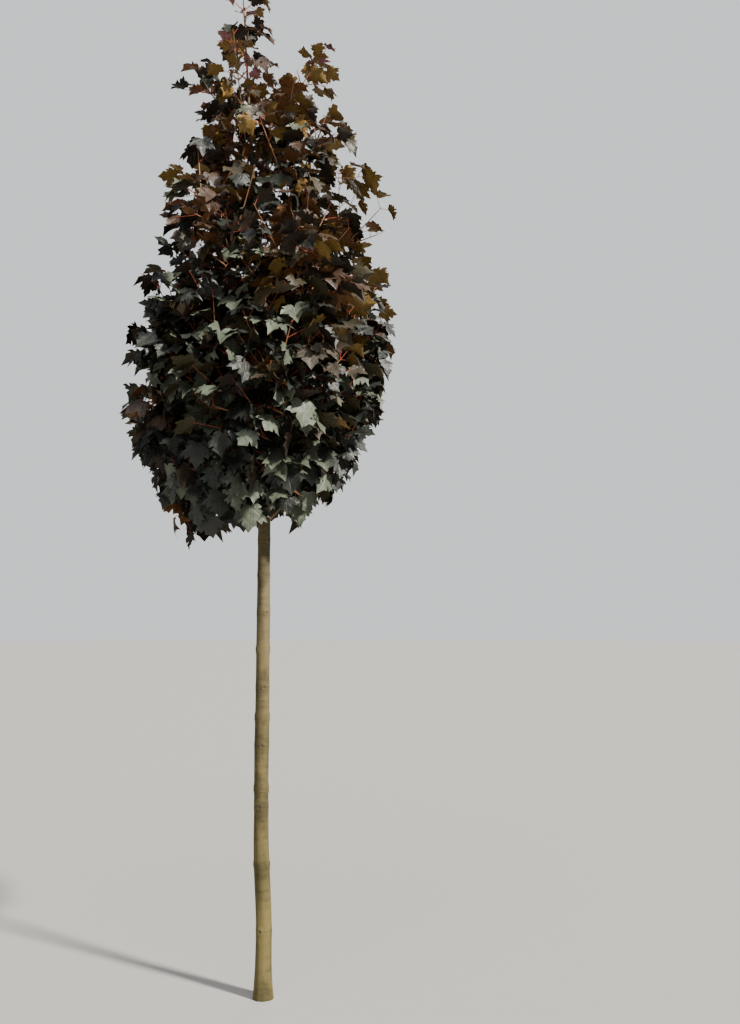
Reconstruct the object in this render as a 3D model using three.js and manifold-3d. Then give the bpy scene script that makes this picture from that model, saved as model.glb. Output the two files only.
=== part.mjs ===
// A young maple with dark purple leaves, grown as a standard: one clear stem under an egg-shaped crown.
// The trunk runs up through the crown as its leader. Pairs of boughs leave it, and each bough ends
// where it enters its own mass of foliage. Each mass is one stem with twigs and lobed leaves fused on.
// Units are millimetres and degrees, +Z is up, and the origin is the middle of the flat cut under the
// trunk, at ground level. The clearest view of the tree is the one along +Y.

import * as THREE from "three";
import { mergeVertices } from "three/addons/utils/BufferGeometryUtils.js";
import Module from "manifold-3d";

// Trunk
const LEADER_TIP = 4470;
const TRUNK_TOP = 3960;
const TRUNK_TAPER = [
  [0, 40],
  [120, 35.5],
  [320, 33.5],
  [1000, 31],
  [1900, 27.5],
  [2600, 21],
  [3300, 13.5],
  [TRUNK_TOP, 6.5],
  [LEADER_TIP, 2],
];
const LOW_BEND = { from: 250, to: 720, shift: 17 };
const CROWN_LEAN = { from: 2000, shift: 126, power: 1.3 };
const SWAY = { depth: 9, height: 1900 };
const ROOT_FLARE = { depth: 9, height: 70, buttresses: 3, ridge: 0.4, turn: 0.8 };
const TRUNK_SIDES = 12;
const TRUNK_RINGS = 28;
const RING_POWER = 1.6; // packs the trunk's rings closer towards the flare

// Boughs, in opposite pairs, from the foot of the crown to near its top
const TIERS = 8;
const TIER_FOOT = 2000;
const TIER_SPAN = 1720;
const TIER_STRETCH = 1.1;
const TIER_TURN = 100;
const FIRST_TURN = 4;
const TURN_SCATTER = 24;
const EVENNESS = [0.92, 1.08]; // from one bough to the next, in rise and in reach
const RISE = [
  [2000, 310],
  [2900, 500],
  [3540, 640],
  [3720, 470],
]; // of a bough's tip above its foot
const CROWN_RADIUS = [
  [2000, 300],
  [2350, 520],
  [2500, 590],
  [3400, 580],
  [3900, 450],
  [4200, 430],
  [4350, 260],
];
const CROWN_MIDDLE = [
  [2300, -90],
  [3000, -20],
  [3400, 15],
  [3800, -15],
  [4200, -80],
]; // along X
const LEAF_REACH = 130; // of the leaves past the end of their bough
const BOUGH_SHARE = 0.4; // of the trunk's radius where the bough leaves it
const BOUGH_TAPER = 0.62;
const BARE_SHARE = 0.2; // of a bough's line, before its foliage begins
const BOUGH_BEND = { out: 0.5, up: 0.44 };
const BOUGH_COLLAR = { swell: 0.35, fade: 0.12 }; // where it leaves the trunk
const BOUGH_SIDES = 5;
const BOUGH_RINGS = 3;
const LIMB_GAP = 0.3;

// Foliage
const LINE_STEP = 0.01;
const SPACE_POINTS = 10; // along a limb, to measure how near a point is to it
const NODE_GAP = 92;
const FIRST_NODE = 0.15; // of the gap, from the end of the bough
const NODE_STRETCH = 8;
const STEM_SIDES = 3;
const SHOOT_RINGS = 4; // of a shoot as a plain limb
const STEM_TIP_RADIUS = 3;
const TWIG = { long: 215, short: 95, high: 0.45, spread: 52, lift: 0.12, sag: 0.03 };
const TWIG_RADIUS = [3.4, 2.6]; // at its foot and tip
const TWIG_VARIES = [0.75, 1.2];
const TWIG_TURN_SCATTER = 40;
const STEM_SPIN = 90; // of the first pair of leaves round its shoot
const TWIG_SPIN_SCATTER = 50;
const TWIG_FOOT = 0.1; // of a twig's line, clear of the node that it grows from
const TWIG_NODES = [0.52, 0.95];
const STEM_END = 0.985;
const TWIG_SAMPLES = [0.3, 0.55, 0.8, 1];
const TWIG_MARGIN = 9;
const LEAF_LENGTH = { foot: 205, top: 104 };
const LEAF_VARIES = [0.84, 1.14];
const PETIOLE = { foot: 66, top: 44 };
const PETIOLE_VARIES = [0.8, 1.3];
const LEAF_SPREAD = 54;
const LEAF_LIFT = 0.15;
const OUTWARD = 0.6; // how far the blades turn away from the trunk
const LEAF_THICKNESS = 0.034; // of the leaf's length, at the middle of the blade
const PLACE_WEIGHT = 2.5;
const LEAST_FACING = 0.2;
const STALK = 2;
const STALK_START = 8;
const STALK_BELOW = 0.22; // how far the stalk comes from below the blade, at least
const DROOP = { foot: 64, top: 44, scatter: 26 };
const ROLL = 28;
const OPENNESS = 0.4; // the share of leaves that the crown's top goes without
const LEAF_TRIES = 22;
const LEAST_SIZE = 0.6; // of a leaf's full length, on its last try
const LEAF_SCATTER = 80; // round the twig
const LEAF_SEED = 7000;
const CELL_MARGIN = 3;
const CLEAR = 1.5;
const TOUCH = 1e-3; // the volume in cubic millimetres below which two bodies only touch

// Half of a lobed blade: across and along from the end of the stalk, and how far it droops, as shares
// of the blade's length. It runs from the tip round to the stalk.
const BLADE_TIP = [0, 1, -0.12];
const BLADE_HALF = [
  [0.28, 0.57, 0],
  [0.64, 0.56, -0.1],
  [0.46, 0.19, 0],
  [0.5, -0.12, -0.06],
  [0.022, -0.02, 0],
];
const BLADE_MIDDLE = 0.1;

const UP = new THREE.Vector3(0, 0, 1);
const ALONG_X = new THREE.Vector3(1, 0, 0);
const radians = THREE.MathUtils.degToRad;

const wasm = await Module();
wasm.setup();

// Random numbers from 0 to 1, the same for the same seed.
function seeded(seed) {
  let state = seed >>> 0;
  return () => {
    state = (state + 0x6d2b79f5) >>> 0;
    let mixed = Math.imul(state ^ (state >>> 15), 1 | state);
    mixed = (mixed + Math.imul(mixed ^ (mixed >>> 7), 61 | mixed)) ^ mixed;
    return ((mixed ^ (mixed >>> 14)) >>> 0) / 4294967296;
  };
}

function smooth(value, from, to) {
  const share = Math.min(1, Math.max(0, (value - from) / (to - from)));
  return share * share * (3 - 2 * share);
}

function mix(a, b, share) {
  return a + (b - a) * share;
}

// A random turn, up to half the scatter to either side.
function scattered(scatter, random) {
  return scatter * (random() - 0.5);
}

// The trunk's centre line and radius at a height.
function trunkPoint(height) {
  const climbed = Math.max(0, (height - CROWN_LEAN.from) / (LEADER_TIP - CROWN_LEAN.from));
  const lean =
    LOW_BEND.shift * smooth(height, LOW_BEND.from, LOW_BEND.to) +
    CROWN_LEAN.shift * climbed ** CROWN_LEAN.power;
  return new THREE.Vector3(-lean, SWAY.depth * Math.sin(height / SWAY.height) ** 2, height);
}

// Reads a profile of [height, value] rows at a height.
function profile(rows, height) {
  const above = rows.findIndex(([z]) => z >= height);
  if (above < 1) return rows[above < 0 ? rows.length - 1 : 0][1];
  const [low, high] = [rows[above - 1], rows[above]];
  return mix(low[1], high[1], (height - low[0]) / (high[0] - low[0]));
}

function trunkRadius(height) {
  return profile(TRUNK_TAPER, height);
}

// A unit vector across a direction, turned round it by an angle.
function across(direction, angle) {
  const reference = Math.abs(direction.z) > 0.95 ? ALONG_X : UP;
  const side = direction.clone().cross(reference).normalize();
  const other = direction.clone().cross(side);
  return side.multiplyScalar(Math.cos(radians(angle))).addScaledVector(other, Math.sin(radians(angle)));
}

// Turns a closed geometry into a solid that can be cut and joined.
function solidOf(geometry) {
  geometry.deleteAttribute("normal");
  geometry.deleteAttribute("uv");
  const merged = mergeVertices(geometry, 1e-4);
  return new wasm.Manifold(
    new wasm.Mesh({
      numProp: 3,
      vertProperties: new Float32Array(merged.attributes.position.array),
      triVerts: new Uint32Array(merged.index.array),
    }),
  );
}

// A tapering limb: a capped cylinder bent along line(share), with radius(share, angle) round it. Its
// foot is cut square to the line, or level.
function limb(line, radius, sides, rings, flatFoot = false) {
  const geometry = new THREE.CylinderGeometry(1, 1, 1, sides, rings);
  const place = geometry.attributes.position;
  for (let i = 0; i < place.count; i++) {
    const share = place.getY(i) + 0.5;
    const heading = flatFoot && share === 0 ? UP : headingOf(line, share);
    const side = across(heading, 0);
    const other = side.clone().cross(heading);
    const [x, z] = [place.getX(i), place.getZ(i)];
    const angle = Math.atan2(z, x);
    const reach = Math.hypot(x, z) * radius(share, angle);
    const point = line(share)
      .addScaledVector(side, reach * Math.cos(angle))
      .addScaledVector(other, reach * Math.sin(angle));
    place.setXYZ(i, point.x, point.y, point.z);
  }
  return solidOf(geometry);
}

// The trunk, with its root flare; extra makes it thicker.
function trunkSolid(extra) {
  const height = (share) => TRUNK_TOP * share ** RING_POWER;
  const radius = (share, angle) => {
    const flare = ROOT_FLARE.depth * Math.exp(-height(share) / ROOT_FLARE.height);
    const ridge = 1 + ROOT_FLARE.ridge * Math.cos(ROOT_FLARE.buttresses * angle + ROOT_FLARE.turn);
    return trunkRadius(height(share)) + flare * ridge + extra;
  };
  return limb((share) => trunkPoint(height(share)), radius, TRUNK_SIDES, TRUNK_RINGS, true);
}

// Every bough's name and line. A pair of boughs leaves the trunk at each tier, on opposite sides.
function planBoughs() {
  const boughs = [];
  for (let tier = 0; tier < TIERS; tier++) {
    const share = tier / (TIERS - 1);
    const height = TIER_FOOT + TIER_SPAN * share ** TIER_STRETCH;
    for (const [index, side] of ["a", "b"].entries()) {
      const random = seeded(100 + 10 * tier + index);
      const azimuth = radians(FIRST_TURN + TIER_TURN * tier + 180 * index + scattered(TURN_SCATTER, random));
      const evenness = mix(...EVENNESS, random());
      const rise = profile(RISE, height) * mix(...EVENNESS, random());
      const start = trunkPoint(height);
      const out = new THREE.Vector3(Math.cos(azimuth), Math.sin(azimuth), 0);
      const reach = (profile(CROWN_RADIUS, height + rise) - LEAF_REACH) * evenness;
      const middle = new THREE.Vector3(profile(CROWN_MIDDLE, height + rise), 0, height + rise);
      const tip = middle.addScaledVector(out, reach);
      const knee = new THREE.Vector3(
        mix(start.x, tip.x, BOUGH_BEND.out),
        mix(start.y, tip.y, BOUGH_BEND.out),
        mix(start.z, tip.z, BOUGH_BEND.up),
      );
      const curve = new THREE.QuadraticBezierCurve3(start, knee, tip);
      boughs.push({
        name: `${String(tier + 1).padStart(2, "0")}${side}`,
        line: (t) => curve.getPoint(t),
        length: curve.getLength(),
        radius: BOUGH_SHARE * trunkRadius(height),
        seed: 1000 + 10 * tier + index,
      });
    }
  }
  return boughs;
}

// The bare part of a bough, with a collar where it leaves the trunk.
function boughSolid(bough) {
  const collar = (t) => 1 + BOUGH_COLLAR.swell * Math.exp(-t / BOUGH_COLLAR.fade);
  const radius = (t) => bough.radius * mix(1, BOUGH_TAPER, t) * collar(t);
  return limb((t) => bough.line(t * BARE_SHARE), radius, BOUGH_SIDES, BOUGH_RINGS);
}

// The leader above the trunk's top is the stem of the crown's top mass.
function planLeader() {
  return {
    name: "top",
    line: (t) => trunkPoint(mix(TRUNK_TOP, LEADER_TIP, t)),
    length: LEADER_TIP - TRUNK_TOP,
    radius: trunkRadius(TRUNK_TOP) / BOUGH_TAPER,
    seed: 2000,
    bare: 0,
  };
}

// The mass of foliage on one limb: its stem goes on from the bare part of the limb.
function planMass({ name, line, length, radius, seed, bare = BARE_SHARE }) {
  const stemLength = length * (1 - bare);
  const count = Math.round(stemLength / NODE_GAP);
  return {
    name,
    seed,
    points: Array.from({ length: SPACE_POINTS }, (_, i) => line(i / (SPACE_POINTS - 1))),
    nodes: Array.from({ length: count }, (_, i) => (i + FIRST_NODE) / count),
    shoot: {
      line: (t) => line(mix(bare, 1, t)),
      length: stemLength,
      radius: (t) => mix(radius * BOUGH_TAPER, STEM_TIP_RADIUS, t),
      spin: STEM_SPIN,
    },
  };
}

// How far a point is from a line of straight pieces.
function distanceTo(points, point) {
  let least = Infinity;
  const segment = new THREE.Line3();
  const nearest = new THREE.Vector3();
  for (let i = 1; i < points.length; i++) {
    segment.set(points[i - 1], points[i]);
    segment.closestPointToPoint(point, true, nearest);
    least = Math.min(least, nearest.distanceTo(point));
  }
  return least;
}

// Tells whether a point is in a mass's own space by a margin: nearer to its limb than to all the others.
function ownSpace(mass, masses) {
  const others = masses.filter((other) => other !== mass);
  return (point, margin) => {
    const own = distanceTo(mass.points, point) + margin;
    return others.every((other) => distanceTo(other.points, point) > own);
  };
}

// A closed surface that grows: points, and triangles of point numbers that face outwards.
function newSkin() {
  return { points: [], faces: [] };
}

function addPoints(skin, points) {
  const first = skin.points.length;
  skin.points.push(...points);
  return points.map((_, i) => first + i);
}

function skinGeometry({ points, faces }) {
  return new THREE.BufferGeometry().setFromPoints(points).setIndex(faces.flat());
}

// Joins two rings of the same count with two triangles a side, split so that the side bulges outwards,
// and gives those triangles' numbers.
function joinRings(skin, from, to) {
  const first = skin.faces.length;
  for (let i = 0; i < from.length; i++) {
    const next = (i + 1) % from.length;
    const [a, b, c, d] = [from[i], from[next], to[next], to[i]];
    const [ab, ac, ad] = [b, c, d].map((n) => skin.points[n].clone().sub(skin.points[a]));
    if (ab.cross(ac).dot(ad) < 0) skin.faces.push([a, b, c], [a, c, d]);
    else skin.faces.push([a, b, d], [b, c, d]);
  }
  return Array.from({ length: 2 * from.length }, (_, i) => first + i);
}

function middleOf(points) {
  return points.reduce((sum, point) => sum.add(point), new THREE.Vector3()).divideScalar(points.length);
}

function facing(skin, face) {
  const [a, b, c] = skin.faces[face].map((i) => skin.points[i]);
  return b.clone().sub(a).cross(c.clone().sub(a)).normalize();
}

// How well a triangle looks along a direction, by the way it faces and its place round the node.
function faceRank(skin, face, node, way) {
  const middle = middleOf(skin.faces[face].map((i) => skin.points[i]));
  return facing(skin, face).dot(way) + PLACE_WEIGHT * middle.sub(node).normalize().dot(way);
}

// A skin as a solid, with the ball that it keeps within.
function bodyOf(skin) {
  const middle = middleOf(skin.points);
  const reach = Math.max(...skin.points.map((point) => point.distanceTo(middle)));
  return { solid: solidOf(skinGeometry(skin)), middle, reach };
}

function overlap(one, other) {
  const apart = one.middle.distanceTo(other.middle) - one.reach - other.reach;
  return apart < 0 && one.solid.intersect(other.solid).volume() > TOUCH;
}

// Grafts a piece onto a skin in place of one of its free triangles, the one that looks best along the
// piece's way. A piece that would cross another is tried on the next. grow adds the piece to a skin of
// its own from a ring, and returns the lists of triangles that it leaves free. Gives those on the whole
// skin, or null if there was no room.
function graft(skin, bodies, free, node, way, grow) {
  const ranks = new Map(free.map((face) => [face, faceRank(skin, face, node, way)]));
  for (const face of [...free].sort((a, b) => ranks.get(b) - ranks.get(a))) {
    if (facing(skin, face).dot(way) < LEAST_FACING) continue;
    const corners = skin.faces[face];
    const piece = newSkin();
    const foot = addPoints(piece, corners.map((i) => skin.points[i]));
    const buds = grow(piece, foot);
    const body = bodyOf({ points: piece.points, faces: [...piece.faces, [...foot].reverse()] });
    if (bodies.some((other) => overlap(other, body))) continue;
    bodies.push(body);
    const numbers = [...corners, ...addPoints(skin, piece.points.slice(foot.length))];
    const first = skin.faces.length;
    skin.faces.push(...piece.faces.map((triangle) => triangle.map((i) => numbers[i])));
    skin.faces[face] = null;
    free.splice(free.indexOf(face), 1);
    return buds.map((list) => list.map((i) => first + i));
  }
  return null;
}

// Turns a ring so that its corners lie nearest to those of another.
function turnTo(skin, ring, other) {
  const turned = (turn) => ring.map((_, i) => ring[(i + turn) % ring.length]);
  const spread = (turn) =>
    turned(turn).reduce((sum, n, i) => sum + skin.points[n].distanceToSquared(skin.points[other[i]]), 0);
  return turned(ring.map((_, i) => i).reduce((kept, turn) => (spread(turn) < spread(kept) ? turn : kept)));
}

// The direction of a line at a share of it.
function headingOf(line, share) {
  const [from, to] = [Math.max(0, share - LINE_STEP), Math.min(1, share + LINE_STEP)];
  return line(to).sub(line(from)).normalize();
}

// A ring of points round a line, anticlockwise as seen from its far end, from one side round.
function ringAt(line, share, side, radius, sides) {
  const heading = headingOf(line, share);
  const start = side.clone().addScaledVector(heading, -side.dot(heading)).normalize();
  const other = heading.clone().cross(start);
  return Array.from({ length: sides }, (_, i) => {
    const angle = (2 * Math.PI * i) / sides;
    return line(share)
      .addScaledVector(start, radius * Math.cos(angle))
      .addScaledVector(other, radius * Math.sin(angle));
  });
}

// A tapering shoot on a skin, from a base ring along a line. Each node is a short stretch between two
// rings, whose triangles stay free for twigs and leaves to grow from. The end is closed by a cap.
function growShoot(skin, base, { line, length, radius }, nodes) {
  const half = NODE_STRETCH / 2 / length;
  const free = [];
  let ring = base;
  for (const share of nodes) {
    for (const end of [share - half, Math.min(1, share + half)]) {
      const corners = ring.map((i) => skin.points[i]);
      const side = corners[0].clone().sub(middleOf(corners));
      const next = addPoints(skin, ringAt(line, end, side, radius(end), ring.length));
      const made = joinRings(skin, ring, next);
      if (end > share) free.push(made);
      ring = next;
    }
  }
  const cap = skin.faces.length;
  for (let i = 1; i < ring.length - 1; i++) skin.faces.push([ring[0], ring[i], ring[i + 1]]);
  free.at(-1).push(cap);
  return free;
}

// The rim of a lobed blade from one side of the stalk round the tip to the other, and the middle of its
// upper and lower faces.
function bladePoints({ foot, midrib, normal, length }) {
  const side = midrib.clone().cross(normal);
  const at = (x, y, z) =>
    foot
      .clone()
      .addScaledVector(side, x * length)
      .addScaledVector(midrib, y * length)
      .addScaledVector(normal, z * length);
  return [
    ...BLADE_HALF.map(([x, y, z]) => at(x, y, z)).reverse(),
    at(...BLADE_TIP),
    ...BLADE_HALF.map(([x, y, z]) => at(-x, y, z)),
    at(0, BLADE_MIDDLE, LEAF_THICKNESS / 2),
    at(0, BLADE_MIDDLE, -LEAF_THICKNESS / 2),
  ];
}

// Adds a blade to a skin. The three points where its midrib starts below stay open for the stalk.
function addBlade(skin, leaf) {
  const numbers = addPoints(skin, bladePoints(leaf));
  const [top, under] = numbers.slice(-2);
  const rim = numbers.slice(0, -2);
  skin.faces.push([top, rim.at(-1), rim[0]]);
  for (let i = 0; i + 1 < rim.length; i++) {
    skin.faces.push([top, rim[i], rim[i + 1]], [under, rim[i + 1], rim[i]]);
  }
  return [rim.at(-1), rim[0], under];
}

// Where one leaf hangs: it leaves its twig at an angle and its blade droops from the end of its stalk.
function placeLeaf(node, heading, sideways, size, random) {
  const way = heading
    .clone()
    .multiplyScalar(Math.cos(radians(LEAF_SPREAD)))
    .addScaledVector(sideways, Math.sin(radians(LEAF_SPREAD)))
    .addScaledVector(UP, LEAF_LIFT)
    .normalize();
  const climb = smooth(node.z, TIER_FOOT, LEADER_TIP);
  const stalk = mix(PETIOLE.foot, PETIOLE.top, climb) * mix(...PETIOLE_VARIES, random());
  const foot = node.clone().addScaledVector(way, stalk);
  const length = size * mix(LEAF_LENGTH.foot, LEAF_LENGTH.top, climb) * mix(...LEAF_VARIES, random());
  const axis = trunkPoint(foot.z);
  const outward = new THREE.Vector3(foot.x - axis.x, foot.y - axis.y, 0).normalize();
  const flat = new THREE.Vector3(way.x, way.y, 0).normalize().addScaledVector(outward, OUTWARD).normalize();
  const droop = radians(mix(DROOP.foot, DROOP.top, climb) + DROOP.scatter * (2 * random() - 1));
  const midrib = flat.clone().multiplyScalar(Math.cos(droop)).addScaledVector(UP, -Math.sin(droop));
  const normal = flat.clone().multiplyScalar(Math.sin(droop)).addScaledVector(UP, Math.cos(droop));
  normal.applyAxisAngle(midrib, radians(ROLL * (2 * random() - 1)));
  return { node, way, foot, midrib, normal, length };
}

// The twigs of one mass by a seeded rule: they leave its stem in opposite pairs, each pair turned a
// right angle from the last and shorter towards the tip. One that would leave the space is skipped.
function planTwigs(mass) {
  const random = seeded(mass.seed);
  const twigs = [];
  mass.nodes.forEach((share, i) => {
    const point = mass.shoot.line(share);
    const heading = headingOf(mass.shoot.line, share);
    const turn = 90 * i + scattered(TWIG_TURN_SCATTER, random);
    for (const flip of [0, 180]) {
      const sideways = across(heading, turn + flip);
      const climb = smooth(point.z, TIER_FOOT, LEADER_TIP);
      const longest = mix(TWIG.long, TWIG.short, share) * mix(1, TWIG.high, climb);
      const length = longest * mix(...TWIG_VARIES, random());
      const spin = STEM_SPIN + scattered(TWIG_SPIN_SCATTER, random);
      const way = heading
        .clone()
        .multiplyScalar(Math.cos(radians(TWIG.spread)))
        .addScaledVector(sideways, Math.sin(radians(TWIG.spread)))
        .addScaledVector(UP, TWIG.lift)
        .normalize();
      const tip = point.clone().addScaledVector(way, length);
      const knee = point.clone().addScaledVector(way, length / 2).addScaledVector(UP, -TWIG.sag * length);
      const curve = new THREE.QuadraticBezierCurve3(point, knee, tip);
      const line = (t) => curve.getPoint(t);
      const samples = TWIG_SAMPLES.map(line);
      const clear = samples.every(
        (sample) =>
          mass.owns(sample, TWIG_MARGIN) &&
          twigs.every((other) => other.samples.every((near) => near.distanceTo(sample) > TWIG_MARGIN)),
      );
      const radius = (t) => mix(...TWIG_RADIUS, t);
      if (clear) twigs.push({ line, length, radius, samples, spin, stemNode: i, way });
    }
  });
  return twigs;
}

// Whether the corners of a leaf, and points between them, keep to their mass's own space.
function insideSpace(mass, leaf) {
  return bladePoints(leaf).every(
    (corner) => mass.owns(corner, CELL_MARGIN) && mass.owns(corner.clone().lerp(leaf.foot, 0.5), CELL_MARGIN),
  );
}

// A leaf and its stalk, from a little way off its shoot, to test what they touch.
function leafBody(leaf, shootRadius) {
  const skin = newSkin();
  const ring = addBlade(skin, leaf);
  const start = (t) => leaf.node.clone().addScaledVector(leaf.way, shootRadius + STALK_START + t);
  const root = addPoints(skin, ringAt(start, 0, across(leaf.way, 0), STALK, 3));
  joinRings(skin, turnTo(skin, root, ring), ring);
  skin.faces.push([...root].reverse());
  return bodyOf(skin);
}

// A shoot from one share of its line to another as a plain limb, to test what touches it.
function shootBody({ line, length, radius }, from, to) {
  const at = (t) => line(mix(from, to, t));
  const solid = limb(at, (t) => radius(mix(from, to, t)), STEM_SIDES, SHOOT_RINGS);
  return { solid, middle: at(0.5), reach: length / 2 };
}

// The leaves of one shoot: a pair on each node, turned a right angle from the last pair, and one more
// at the tip. A leaf is tried a few times, a little smaller each time, and skipped if it would leave its
// mass's space or touch a limb, a twig or another leaf.
function planLeaves(mass, shoot, nodes, obstacles, random) {
  return nodes.map((share, i) => {
    const node = shoot.line(share);
    const heading = headingOf(shoot.line, share);
    const turns = [0, 180].map((flip) => shoot.spin + 90 * i + flip);
    if (i === nodes.length - 1) turns.unshift(null);
    const leaves = [];
    const climb = smooth(node.z, TIER_FOOT, LEADER_TIP);
    for (const turn of turns) {
      if (random() < OPENNESS * climb) continue;
      for (let attempt = 0; attempt < LEAF_TRIES; attempt++) {
        const scatter = scattered(LEAF_SCATTER, random);
        const sideways = turn === null ? heading : across(heading, turn + scatter);
        const size = mix(1, LEAST_SIZE, attempt / (LEAF_TRIES - 1));
        const leaf = placeLeaf(node, heading, sideways, size, random);
        if (leaf.way.dot(leaf.normal) < STALK_BELOW || !insideSpace(mass, leaf)) continue;
        const body = leafBody(leaf, shoot.radius(share));
        const touches = obstacles.some(
          (other) =>
            other.middle.distanceTo(body.middle) < other.reach + body.reach + CLEAR &&
            body.solid.minGap(other.solid, CLEAR) < CLEAR,
        );
        if (touches) continue;
        obstacles.push(body);
        leaves.push(leaf);
        break;
      }
    }
    return { share, leaves };
  });
}

// Grafts the leaves of a node onto its free triangles.
function growLeaves(skin, bodies, free, leaves) {
  for (const leaf of leaves) {
    graft(skin, bodies, free, leaf.node, leaf.way, (piece, foot) => {
      const ring = addBlade(piece, leaf);
      joinRings(piece, turnTo(piece, foot, ring), ring);
      return [];
    });
  }
}

// Grows one mass on its own skin: the stem, then its twigs, and leaves on every node. A twig with no
// room for two leaves is left out.
function growMass(mass, obstacles) {
  const random = seeded(mass.seed + LEAF_SEED);
  const twigs = [];
  for (const twig of mass.twigs) {
    const nodes = planLeaves(mass, twig, TWIG_NODES, obstacles, random).filter(({ leaves }) => leaves.length);
    if (nodes.flatMap(({ leaves }) => leaves).length > 1) twigs.push({ ...twig, nodes });
  }
  const stemNodes = planLeaves(mass, mass.shoot, [...mass.nodes, STEM_END], obstacles, random);

  const skin = newSkin();
  const { line, length, radius } = mass.shoot;
  const side = across(headingOf(line, 0), 0);
  const base = addPoints(skin, ringAt(line, LIMB_GAP / length, side, radius(0), STEM_SIDES));
  for (let i = 1; i < STEM_SIDES - 1; i++) skin.faces.push([base[0], base[i + 1], base[i]]);
  const free = growShoot(skin, base, mass.shoot, stemNodes.map(({ share }) => share));
  const bodies = [bodyOf(skin)];
  for (const twig of twigs) {
    const grow = (piece, foot) => growShoot(piece, foot, twig, twig.nodes.map(({ share }) => share));
    const twigFree = graft(skin, bodies, free[twig.stemNode], twig.line(0), twig.way, grow);
    if (twigFree) twig.nodes.forEach(({ leaves }, i) => growLeaves(skin, bodies, twigFree[i], leaves));
  }
  stemNodes.forEach(({ leaves }, i) => growLeaves(skin, bodies, free[i], leaves));
  skin.faces = skin.faces.filter((face) => face);
  return solidOf(skinGeometry(skin));
}

// The largest closed body of a solid. Loose scraps and sealed hollows are left behind.
function largest(solid) {
  const bodies = solid.decompose();
  return bodies.reduce((best, body) => (body.volume() > best.volume() ? body : best));
}

function meshOf(name, solid, material) {
  const { vertProperties, triVerts, numProp } = solid.getMesh();
  const geometry = new THREE.BufferGeometry();
  const corners = new Float32Array((vertProperties.length / numProp) * 3);
  for (let i = 0; i < corners.length / 3; i++) {
    corners.set(vertProperties.subarray(i * numProp, i * numProp + 3), 3 * i);
  }
  geometry.setAttribute("position", new THREE.BufferAttribute(corners, 3));
  geometry.setIndex(new THREE.BufferAttribute(triVerts, 1));
  geometry.computeVertexNormals();
  const mesh = new THREE.Mesh(geometry, material);
  mesh.name = name;
  return mesh;
}

const bark = new THREE.MeshStandardMaterial({ color: 0x9a8a68, roughness: 0.85, metalness: 0 });
const youngBark = new THREE.MeshStandardMaterial({ color: 0x6b5a44, roughness: 0.8, metalness: 0 });
const foliage = new THREE.MeshStandardMaterial({ color: 0x2a2422, roughness: 0.5, metalness: 0 });

const tree = new THREE.Group();
const trunk = trunkSolid(0);
const trunkClear = trunkSolid(LIMB_GAP);
tree.add(meshOf("trunk", trunk, bark));

const boughs = planBoughs();
const boughSolids = boughs.map((bough) => largest(boughSolid(bough).subtract(trunkClear)));
boughs.forEach((bough, i) => tree.add(meshOf(`bough_${bough.name}`, boughSolids[i], youngBark)));

const masses = [...boughs, planLeader()].map(planMass);
for (const mass of masses) {
  mass.owns = ownSpace(mass, masses);
  mass.twigs = planTwigs(mass);
}

// What a leaf has to stay clear of: the trunk and boughs, the stems and the twigs, then other leaves.
const limbs = [trunk, ...boughSolids];
const obstacles = limbs.map((solid) => ({ solid, middle: new THREE.Vector3(), reach: Infinity }));
for (const mass of masses) {
  obstacles.push(shootBody(mass.shoot, 0, STEM_END));
  obstacles.push(...mass.twigs.map((twig) => shootBody(twig, TWIG_FOOT, TWIG_NODES.at(-1))));
}
for (const mass of masses) tree.add(meshOf(`foliage_${mass.name}`, growMass(mass, obstacles), foliage));

export default tree;
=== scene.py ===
# %% [markdown]
# # A young purple maple
#
# The real tree is a nursery standard: a slender clear stem, two metres tall, under an egg-shaped head
# of dark purple leaves. The part's solids give it as a trunk, bare boughs and masses of thick leaves.
# This lesson loads them as a frame and grows the fine tree over them: bark with relief, boughs that
# run on into twigs by the same seeded rule, and thin lobed leaves in sprays.

# %% Load the frame
import math
from functools import partial

import bpy
import numpy as np
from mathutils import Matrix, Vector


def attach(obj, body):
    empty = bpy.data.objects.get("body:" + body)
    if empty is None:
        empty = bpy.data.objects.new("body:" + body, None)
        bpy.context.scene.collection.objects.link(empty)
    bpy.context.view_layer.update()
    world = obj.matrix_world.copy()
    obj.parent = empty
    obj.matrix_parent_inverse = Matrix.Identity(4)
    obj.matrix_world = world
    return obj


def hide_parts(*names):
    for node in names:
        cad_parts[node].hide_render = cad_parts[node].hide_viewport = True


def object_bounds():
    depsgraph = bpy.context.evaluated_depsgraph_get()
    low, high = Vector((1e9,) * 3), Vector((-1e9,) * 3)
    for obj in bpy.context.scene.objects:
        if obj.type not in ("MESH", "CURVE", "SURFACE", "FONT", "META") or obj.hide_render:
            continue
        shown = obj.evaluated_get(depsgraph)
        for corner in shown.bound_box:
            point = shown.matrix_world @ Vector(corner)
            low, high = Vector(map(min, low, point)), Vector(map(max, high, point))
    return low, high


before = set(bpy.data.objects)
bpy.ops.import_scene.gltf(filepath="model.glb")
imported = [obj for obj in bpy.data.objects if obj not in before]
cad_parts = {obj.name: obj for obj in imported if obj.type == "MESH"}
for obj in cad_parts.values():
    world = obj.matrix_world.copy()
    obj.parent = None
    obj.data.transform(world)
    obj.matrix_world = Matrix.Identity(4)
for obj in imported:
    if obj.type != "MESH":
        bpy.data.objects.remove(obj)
cad_low, cad_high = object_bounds()
bpy.ops.object.select_all(action="DESELECT")


def rounded(corner):
    return [round(value, 3) for value in corner]


print(len(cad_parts), "solids, from", rounded(cad_low), "to", rounded(cad_high))

# %% [markdown]
# ## The camera
#
# The photograph was taken from eye height, 4.4 metres in front of the stem and a little to its right,
# with the camera tipped up. A lens of 35 mm on a full frame gives its perspective: the same tree from
# further off would lean less into the picture.

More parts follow.
